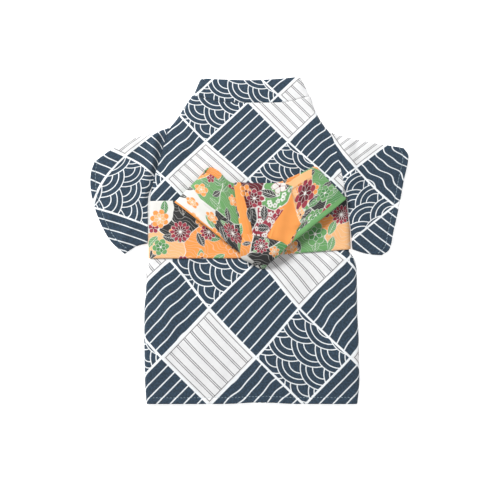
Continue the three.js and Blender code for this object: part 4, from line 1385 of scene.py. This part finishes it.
@dataclass(frozen=True)
class FlowerPrint:
    """The sash's print: patches of colour with leaves, small blossoms and a few large flowers."""

    name: str
    patches: tuple[Patch, ...]
    blooms: tuple[Bloom, ...]
    facets: tuple[Facet, ...] = ()
    blossom: float = 24.0
    leaf: float = 15.0
    sway: float = 13.0
    swirl_size: float = 16.0
    sway_size: float = 21.0
    hair_pitch: float = 3.4
    hair_bend: float = 22.0
    petal_pitch: float = 5.6
    petal_radius: float = 2.3
    notch: float = 0.34
    vein_pitch: float = 2.4
    leaves_shown: float = 0.66
    blossoms_shown: float = 0.6
    far: float = 1000.0

    def scatter(self, s: Shading, u: Value, v: Value, size: float, shift: tuple[float, float]) -> list[Value]:
        """Scattered places, about size apart.

        Args:
            s: the material under construction.
            u: place along the cloth.
            v: place across the cloth.
            size: the usual distance between two places.
            shift: moves the pattern, to give another one.

        Returns:
            The distance from the nearest place along u and v, and two random numbers for it.
        """
        x, y = u / size + shift[0], v / size + shift[1]
        sockets = {"Vector": s.join(x, y), "Scale": 1.0, "Randomness": 0.7}
        cells = s.node("ShaderNodeTexVoronoi", {"voronoi_dimensions": "2D"}, sockets)
        near_x, near_y, _ = s.split(cells.outputs["Position"])
        first, second, _ = s.split(cells.outputs["Color"])
        return [(x - near_x) * size, (y - near_y) * size, first, second]

    def petals(self, s: Shading, x: Value, y: Value, radius: Term, count: Term, turn: Term,
               layers: tuple[float, ...] = (1.0,)) -> tuple[Value, Value, Value]:
        """Masks of a flower, of the pale lines on it, and of its inner petals.

        Args:
            s: the material under construction.
            x: distance from its middle along the cloth.
            y: distance from its middle across the cloth.
            radius: its radius.
            count: how many petals a layer has.
            turn: the angle of its first petal.
            layers: the size of each layer of petals as a share of the first, the largest first.

        Returns:
            The mask of the flower, of its lines and of its inner petals.
        """
        reach = s.length(x, y)
        angle = s.maths("ARCTAN2", y, x) * (count * 0.5) + turn
        whole = lines = inner = None
        for k, share in enumerate(layers):
            wave = abs(s.maths("COSINE", angle + k * math.pi / 2))
            edge = radius * ((1 - self.notch + self.notch * wave ** 0.8) * share)
            spare = edge - reach
            inside = s.step(spare, -0.15, 0.15)
            joint = PETAL_JOINT.draw(s, reach * wave * 2.0 / count)
            drawn = s.most(joint, PETAL_EDGE.draw(s, spare)) * inside
            if whole is None:
                whole, lines, inner = inside, drawn, inside * 0.0
            else:
                lines = lines + (drawn - lines) * inside
                inner = s.most(inner, inside)
        return whole, lines, inner

    def ground(self, s: Shading, u: Value, v: Value) -> bpy.types.NodeSocket:
        """Patches of colour with pale lines between them, some strewn with petals."""
        swirl = s.noise(s.join(u / self.swirl_size, v / self.swirl_size), 1.0, 1.0)
        sway = s.noise(s.join(u / self.sway_size + 7.0, v / self.sway_size), 1.0, 1.0)
        here = s.join(u + (swirl - 0.5) * self.sway, v + (sway - 0.5) * self.sway)
        near, second = self.far, self.far
        colour, facts = self.patches[0].colour, (0.0, 0.0, 0.0)
        for patch in self.patches:
            away = s.measure("DISTANCE", here, (patch.x, patch.y, 0.0)) - patch.size
            closer = s.maths("LESS_THAN", away, near)
            second = s.least(second, s.most(away, near))
            near = s.least(away, near)
            colour = s.mix(closer, colour, patch.colour)
            facts = s.mix_vectors(closer, facts, (patch.sprinkled, 0.0, 0.0))
        sprinkled, _, _ = s.split(facts)
        x, y, _, other = self.scatter(s, u, v, self.petal_pitch, (2.2, 4.4))
        whole, _, _ = self.petals(s, x, y, self.petal_radius, 5.0, other * FULL_TURN)
        heart = PETAL_HEART.draw(s, s.length(x, y))
        colour = s.mix(whole * (1 - heart) * sprinkled * 0.92, colour, IVORY)
        bent = u * 0.5 + v + (swirl - 0.5) * self.hair_bend
        hair = GROUND_HAIR.draw(s, s.to_line(bent, self.hair_pitch))
        colour = s.mix(hair * (1 - sprinkled) * 0.35, colour, IVORY)
        return s.mix(PATCH_EDGE.draw(s, second - near) * 0.85, colour, IVORY)

    def leaves(self, s: Shading, u: Value, v: Value, below: object) -> bpy.types.NodeSocket:
        """Pointed leaves with pale veins and edges over the ground."""
        x, y, pick, other = self.scatter(s, u, v, self.leaf, (3.3, 8.1))
        angle = other * FULL_TURN
        cos, sin = s.maths("COSINE", angle), s.maths("SINE", angle)
        along, across = x * cos + y * sin, y * cos - x * sin
        half = (1 - (along / (self.leaf * 0.5)) ** 2) * (self.leaf * 0.24)
        spare = half - abs(across)
        shape = s.step(spare, -0.1, 0.15)
        side_veins = LEAF_VEIN.draw(s, s.to_line(along + abs(across) * 1.2, self.vein_pitch))
        veins = s.most(LEAF_RIB.draw(s, abs(across)), side_veins * 0.8)
        lines = s.most(veins, LEAF_EDGE.draw(s, spare))
        shown = shape * s.below(pick, self.leaves_shown, 0.005)
        return s.mix(shown, below, s.mix(lines * 0.85, s.ramp(LEAF_HUES, pick), IVORY))

    def blossoms(self, s: Shading, u: Value, v: Value, below: object) -> bpy.types.NodeSocket:
        """Small five-petalled blossoms over the leaves."""
        x, y, pick, other = self.scatter(s, u, v, self.blossom, (1.7, 5.2))
        whole, lines, _ = self.petals(s, x, y, 4.6 + other * 2.2, 5.0, other * FULL_TURN)
        heart = BLOSSOM_HEART.draw(s, s.length(x, y))
        drawn = s.mix(lines * 0.9, s.ramp(BLOSSOM_HUES, pick), s.ramp(BLOSSOM_LINES, pick))
        shown = whole * s.below(pick, self.blossoms_shown, 0.005)
        return s.mix(shown, below, s.mix(heart, drawn, WINE))

    def large(self, s: Shading, u: Value, v: Value, below: object) -> bpy.types.NodeSocket:
        """The large flowers: the nearest one is picked first, and then drawn."""
        here = s.join(u, v)
        near = self.far
        centre, facts = (0.0, 0.0, 0.0), (1.0, 8.0, 0.0)
        for bloom in self.blooms:
            spot = (bloom.x, bloom.y, 0.0)
            away = s.measure("DISTANCE", here, spot) - bloom.radius
            closer = s.maths("LESS_THAN", away, near)
            centre = s.mix_vectors(closer, centre, spot)
            facts = s.mix_vectors(closer, facts, (bloom.radius, float(bloom.petals), bloom.hue))
            near = s.least(away, near)
        cx, cy, _ = s.split(centre)
        radius, count, hue = s.split(facts)
        wobble = (s.noise(s.join(u / 5.0, v / 5.0), 1.0, 1.0) - 0.5) * 1.2
        x, y = u - cx + wobble, v - cy - wobble
        whole, lines, inner = self.petals(s, x, y, radius, count, hue * 3.0, (1.0, 0.62))
        heart = BLOOM_HEART.draw(s, s.length(x, y) / radius)
        petal = s.mix(inner, s.ramp(OUTER_HUES, hue), s.ramp(INNER_HUES, hue))
        drawn = s.mix(heart, s.mix(lines * 0.9, petal, s.ramp(BLOOM_LINES, hue)), IVORY)
        return s.mix(whole, below, drawn)

    def faces(self, s: Shading, u: Value, v: Value, below: object, bare: bool) -> bpy.types.NodeSocket:
        """The plain faces of the folds, either the bare ones or those with flowers on them."""
        here = s.join(u, v)
        colour = below
        for facet in (facet for facet in self.facets if facet.bare == bare):
            shown = 1.0
            for (x0, y0), (x1, y1) in zip(facet.corners, facet.corners[1:] + facet.corners[:1]):
                length = math.hypot(x1 - x0, y1 - y0)
                nx, ny = (y0 - y1) / length, (x1 - x0) / length
                inside = s.measure("DOT_PRODUCT", here, (nx, ny, 0.0))
                edge = nx * x0 + ny * y0
                shown = s.step(inside, edge - 0.2, edge + 0.2) * shown
            colour = s.mix(shown, colour, facet.colour)
        return colour

    def material(self) -> bpy.types.Material:
        """The print on its woven cloth."""
        s = Shading(self.name)
        u, v = s.place("print")
        colour = self.ground(s, u, v)
        colour = self.faces(s, u, v, colour, False)
        colour = self.leaves(s, u, v, colour)
        colour = self.blossoms(s, u, v, colour)
        colour = self.large(s, u, v, colour)
        colour = self.faces(s, u, v, colour, True)
        return SASH_WEAVE.finish(s, colour)


SASH_PRINT = FlowerPrint("sash_flowers", (
    Patch(-78, 8, 9, PEACH), Patch(-84, 42, 8, IVORY), Patch(-58, 36, 8, SLATE), Patch(-36, 8, 14, ORANGE),
    Patch(-70, 26, 4, SLATE), Patch(-12, 30, 9, GREEN, 1.0), Patch(10, 6, 10, ORANGE),
    Patch(30, 34, 10, CRIMSON, 1.0), Patch(54, 8, 12, GREEN), Patch(82, 10, 8, PEACH),
    Patch(68, 30, 9, ORANGE), Patch(86, 40, 8, SLATE),
), (
    Bloom(-64, 24, 10, 12, 0.0), Bloom(-83, 36, 9, 7, 0.6), Bloom(-38, 24, 8, 10, 0.1),
    Bloom(-82, 10, 8, 6, 0.9), Bloom(84, 32, 9, 12, 0.0), Bloom(60, 16, 11, 6, 0.9),
    Bloom(0, 30, 12, 10, 0.3), Bloom(38, 6, 7, 5, 0.6),
), blossom=26.0)
BOW_PRINT = FlowerPrint("bow_flowers", (
    Patch(18, 43, 13, GREEN), Patch(46, 43, 12, GREEN), Patch(1, 14, 8, IVORY), Patch(21, 10, 7, IVORY),
    Patch(44, 10, 9, SLATE), Patch(60, 14, 7, SLATE), Patch(0, 58, 7, ORANGE), Patch(317, 58, 7, ORANGE),
    Patch(84, 52, 8, WINE), Patch(88, 28, 5, SLATE), Patch(106, 50, 8, GREEN, 1.0),
    Patch(98, 24, 10, CRIMSON, 1.0), Patch(116, 26, 9, ORANGE), Patch(136, 44, 12, PEACH),
    Patch(143, 12, 7, GREEN, 1.0), Patch(160, 42, 9, GREEN), Patch(153, 16, 6, SLATE),
    Patch(166, 8, 8, LEAF), Patch(186, 30, 12, GREEN), Patch(230, 30, 16, ORANGE),
    Patch(280, 30, 14, GREEN),
), (
    Bloom(11, 35, 8, 5, 0.6), Bloom(10, 14, 6, 5, 0.6), Bloom(29, 14, 6, 5, 0.6), Bloom(49, 14, 9, 12, 0.1),
    Bloom(89, 46, 8, 8, 0.0), Bloom(140, 38, 14, 8, 0.0), Bloom(161, 24, 9, 6, 0.9), Bloom(50, 47, 6, 5, 0.6),
    Bloom(150, 8, 6, 5, 0.9),
), (
    Facet(ORANGE, ((121, 46), (101, 16), (122, -2), (137, 12))),
    Facet(ORANGE, ((68, 59), (74, -1), (88, -1), (77, 59)), False),
    Facet(ORANGE, ((-1, -1), (44, -1), (40, 1.5), (-1, 2.2))),
    Facet(PEACH, ((110, 59), (123, 51), (150, 50), (154, 59))),
    Facet(GREEN, ((128, -1), (172, -1), (170, 6), (134, 6))),
), leaf=14.0, sway=5.0)
KNOT_PRINT = FlowerPrint("knot_flowers", (
    Patch(296, 20, 6, ORANGE), Patch(308, 18, 6, SLATE), Patch(320, 22, 6, SLATE), Patch(312, 3, 7, SLATE),
    Patch(326, 12, 5, LEAF), Patch(320, -6, 6, IVORY), Patch(302, -6, 5, IVORY),
), (Bloom(310, 15, 7, 10, 0.3), Bloom(322, 10, 5, 6, 0.6)), leaf=9.0, sway=5.0)


@dataclass
class Sewing:
    """Rows of stitches along paths, made by Geometry Nodes. Sizes are in millimetres."""

    pitch: float = 3.1
    length: float = 2.9
    width: float = 0.55
    height: float = 0.42
    thread: Colour = (0.26, 0.35, 0.4, 1.0)
    thread_light: Colour = (0.42, 0.52, 0.57, 1.0)
    twist: float = 0.45
    hem_sink: float = 0.1

    def thread_material(self) -> bpy.types.Material:
        """Twisted sewing thread."""
        s = Shading("sewing_thread")
        x, y, z = s.split(s.node("ShaderNodeTexCoord", {}, {}).outputs["Object"])
        twist = s.maths("SINE", (x + y + z) * (FULL_TURN / (self.twist * MM)))
        colour = s.mix(0.5 + 0.3 * twist, self.thread, self.thread_light)
        normal = s.bump(0.5, 0.1 * MM, twist)
        return s.finish({"Base Color": colour, "Roughness": 0.6, "Normal": normal, "Sheen Weight": 0.2})

    def tree(self, material: bpy.types.Material) -> bpy.types.NodeTree:
        """The node tree that sets stitches along the edges of a mesh."""
        tree = bpy.data.node_groups.new("stitch_row", "GeometryNodeTree")
        add = partial(add_node, tree)
        tree.interface.new_socket("Geometry", in_out="INPUT", socket_type="NodeSocketGeometry")
        for name in ("Pitch", "Length", "Width", "Height"):
            tree.interface.new_socket(name, in_out="INPUT", socket_type="NodeSocketFloat")
        tree.interface.new_socket("Geometry", in_out="OUTPUT", socket_type="NodeSocketGeometry")
        group_in = add("NodeGroupInput", {}, {})
        sizes = add("ShaderNodeCombineXYZ", {}, {
            0: group_in.outputs["Length"], 1: group_in.outputs["Width"], 2: group_in.outputs["Height"]})
        bead = add("GeometryNodeMeshUVSphere", {}, {"Segments": 6, "Rings": 4, "Radius": 0.5})
        stitch = add("GeometryNodeTransform", {}, {
            "Geometry": bead.outputs["Mesh"], "Scale": sizes.outputs[0]})
        path = add("GeometryNodeMeshToCurve", {}, {"Mesh": group_in.outputs["Geometry"]})
        spots = add("GeometryNodeResampleCurve", {"mode": "LENGTH"}, {
            "Curve": path.outputs[0], "Length": group_in.outputs["Pitch"]})
        tangent = add("GeometryNodeInputTangent", {}, {})
        turn = add("FunctionNodeAlignRotationToVector", {"axis": "X"}, {"Vector": tangent.outputs[0]})
        row = add("GeometryNodeInstanceOnPoints", {}, {
            "Points": spots.outputs[0], "Instance": stitch.outputs[0], "Rotation": turn.outputs[0]})
        real = add("GeometryNodeRealizeInstances", {}, {"Geometry": row.outputs[0]})
        dressed = add("GeometryNodeSetMaterial", {}, {"Geometry": real.outputs[0], "Material": material})
        add("NodeGroupOutput", {}, {0: dressed.outputs[0]})
        return tree

    def sew(self, name: str, paths: Sequence[np.ndarray], material: bpy.types.Material) -> bpy.types.Object:
        """Sews stitches along paths.

        Args:
            name: the new piece's name.
            paths: points along each path, in millimetres.
            material: the thread.

        Returns:
            One plain mesh piece.
        """
        points, edges = [], []
        for path in paths:
            start = len(points)
            points += (path * MM).tolist()
            edges += [(start + k, start + k + 1) for k in range(len(path) - 1)]
        mesh = bpy.data.meshes.new(name + "_path")
        mesh.from_pydata(points, edges, [])
        guide = add_object(name + "_path", mesh)
        tree = self.tree(material)
        modifier = guide.modifiers.new("stitches", "NODES")
        modifier.node_group = tree
        wanted = {"Pitch": self.pitch, "Length": self.length, "Width": self.width, "Height": self.height}
        for item in tree.interface.items_tree:
            if item.item_type == "SOCKET" and item.name in wanted:
                modifier[item.identifier] = wanted[item.name] * MM
        graph = bpy.context.evaluated_depsgraph_get()
        made = bpy.data.meshes.new_from_object(guide.evaluated_get(graph))
        guide.modifiers.remove(modifier)
        bpy.data.objects.remove(guide)
        made.name = name
        made.shade_smooth()
        return add_object(name, made)


@dataclass(frozen=True)
class Lamp:
    """An area light that looks at the garment. Its place and size are in metres, its power in watts."""

    name: str
    place: tuple[float, float, float]
    size: float
    power: float

    def build(self) -> None:
        """Adds the light."""
        data = bpy.data.lights.new(self.name, "AREA")
        data.size = self.size
        data.energy = self.power
        lamp = add_object(self.name, data)
        lamp.location = self.place
        lamp.rotation_euler = (-Vector(self.place)).to_track_quat("-Z", "Y").to_euler()


@dataclass
class Studio:
    """Floor, light and camera, in metres."""

    frame_width: float = 0.4416
    centre: tuple[float, float] = (-0.0092, 0.0005)
    camera_height: float = 1.5
    garment_middle: float = 0.006
    sensor: float = 36.0
    floor_half: float = 4.0
    floor_drop: float = 0.0003
    floor_colour: Colour = (0.97, 0.97, 0.97, 1.0)
    floor_glow: float = 0.6
    sky: float = 0.36
    lamps: tuple[Lamp, ...] = (
        Lamp("key_light", (-0.75, 0.85, 1.15), 0.45, 26.0), Lamp("fill_light", (0.9, -0.5, 1.5), 1.2, 5.0),
    )

    def build(self) -> None:
        """Adds everything that isn't the garment."""
        self.floor()
        for lamp in self.lamps:
            lamp.build()
        world = bpy.data.worlds.new("studio")
        bpy.context.scene.world = world
        world.use_nodes = True
        sky = world.node_tree.nodes["Background"]
        sky.inputs["Color"].default_value = WHITE
        sky.inputs["Strength"].default_value = self.sky
        bpy.context.scene.view_settings.view_transform = "Standard"
        self.camera()

    def floor(self) -> None:
        """A plain pale floor."""
        material = Shading("studio_floor").finish({
            "Base Color": self.floor_colour, "Roughness": 0.9, "Emission Color": WHITE,
            "Emission Strength": self.floor_glow,
        })
        mesh = bpy.data.meshes.new("studio_floor")
        corners = [(x * self.floor_half, y * self.floor_half, -self.floor_drop) for x, y in SQUARE]
        mesh.from_pydata(corners, [], [(0, 1, 2, 3)])
        mesh.materials.append(material)
        add_object("studio_floor", mesh)

    def camera(self) -> None:
        """Adds the camera, straight above the garment as in the photograph."""
        data = bpy.data.cameras.new("camera")
        data.sensor_width = self.sensor
        data.lens = self.sensor * self.camera_height / self.frame_width
        camera = add_object("camera", data)
        camera.location = (*self.centre, self.camera_height + self.garment_middle)
        bpy.context.scene.camera = camera


@dataclass(frozen=True)
class Cut:
    """The flat size and area to which a piece was cut, in metres and square metres, and what it lies on."""

    width: float
    length: float
    area: float
    rests_on: tuple[str, ...] = ()


CUTS = {
    "back_panel": Cut(0.199, 0.286, 0.0508, ("front_left", "front_right")),
    "front_left": Cut(0.118, 0.279, 0.0282, ("sash",)),
    "front_right": Cut(0.115, 0.278, 0.0262, ("front_left",)),
    "collar": Cut(0.32, 0.0166, 0.0053, ("front_left",)),
    "sleeve_left": Cut(0.2, 0.062, 0.0102),
    "sleeve_right": Cut(0.2, 0.062, 0.0104),
    "sash": Cut(0.372, 0.053, 0.0193, ("back_panel",)),
    "bow_ribbon": Cut(0.3, 0.058, 0.0154, ("sash",)),
    "bow_knot": Cut(0.044, 0.036, 0.001, ("bow_ribbon",)),
}
KIMONO_PRINT = LatticePrint("kimono_print")
LEFT_SLEEVE_LATTICE = LatticePrint("left_sleeve_print", arc_turn=math.radians(-10))
RIGHT_SLEEVE_LATTICE = LatticePrint(
    "right_sleeve_print", arc_turn=math.pi, wave=0.034, straight_waves_swapped=True)


@dataclass
class Garment:
    """The whole kimono."""

    body: Body = field(default_factory=Body)
    neckband: Neckband = field(default_factory=Neckband)
    sash: Sash = field(default_factory=Sash)
    bow: Bow = field(default_factory=Bow)
    sewing: Sewing = field(default_factory=Sewing)

    def place(self, node: str, cloth: Cloth, material: bpy.types.Material, slot: str = "kimono_cloth",
              stitches: Sequence[bpy.types.Object] = ()) -> None:
        """Args:
            node: the node whose solid it replaces.
            cloth: its form.
            material: its finish.
            slot: not used.
            stitches: the pieces that are sewn to it.
        """
        cut = CUTS[node]
        piece = cloth.build(node + "_cloth", material)
        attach(piece, "root")
        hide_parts(node)
        list(cut.rests_on)
        list(stitches)
        log.info("%s: %d faces", piece.name, len(piece.data.polygons))

    def stitch(self, name: str, paths: Sequence[np.ndarray], thread: bpy.types.Material) -> bpy.types.Object:
        """Sews one piece's stitches."""
        piece = self.sewing.sew(name, paths, thread)
        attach(piece, "root")
        log.info("%s: %d faces", piece.name, len(piece.data.polygons))
        return piece

    def hem_path(self, back: Cloth) -> np.ndarray:
        """Points where the back's hem is stitched."""
        distance = back.points[:, len(back.points[0]) // 2, 1] - HEM_Y - HEM_DIP
        row = int(np.argmin(np.abs(distance - self.body.hem_fold)))
        line = back.points[row, 8:-8:2].copy()
        line[:, 2] += WALL / 2 - self.sewing.hem_sink
        return line

    def build(self) -> None:
        """Builds every piece."""
        print_back = KIMONO_PRINT.material()
        sleeves = (
            ("left", LEFT_SLEEVE, LEFT_SLEEVE_LATTICE.material()),
            ("right", RIGHT_SLEEVE, RIGHT_SLEEVE_LATTICE.material()),
        )
        sash_pieces = (
            ("sash", self.sash.cloth, SASH_PRINT.material()),
            ("bow_ribbon", self.bow.ribbon, BOW_PRINT.material()),
            ("bow_knot", self.bow.knot, KNOT_PRINT.material()),
        )
        thread = self.sewing.thread_material()
        back = self.body.back()
        hem = self.stitch("hem_stitches", [self.hem_path(back)], thread)
        cuffs = [
            self.stitch(side + "_cuff_stitches", [sleeve.cuff_line()], thread) for side, sleeve, _ in sleeves
        ]
        self.place("back_panel", back, print_back, stitches=[hem])
        outer = self.body.front(LEFT_SIDE, LEFT_NECK, outer_front_z, FRONT_EASE_X, 1)
        inner = self.body.front(RIGHT_SIDE, RIGHT_NECK, inner_front_z, OUTER_LAP_X + LAP_RAMP, -1)
        self.place("front_left", outer, print_back)
        self.place("front_right", inner, print_back)
        self.place("collar", self.neckband.cloth(), print_back)
        for (side, sleeve, printed), cuff in zip(sleeves, cuffs):
            self.place("sleeve_" + side, sleeve.cloth(), printed, stitches=[cuff])
        for node, cloth, printed in sash_pieces:
            self.place(node, cloth(), printed, "sash_cloth")


def main() -> None:
    """Builds the garment and the studio."""
    logging.basicConfig(level=logging.INFO, format="%(message)s")
    Studio().build()
    Garment().build()


if __name__ == "__main__":
    main()
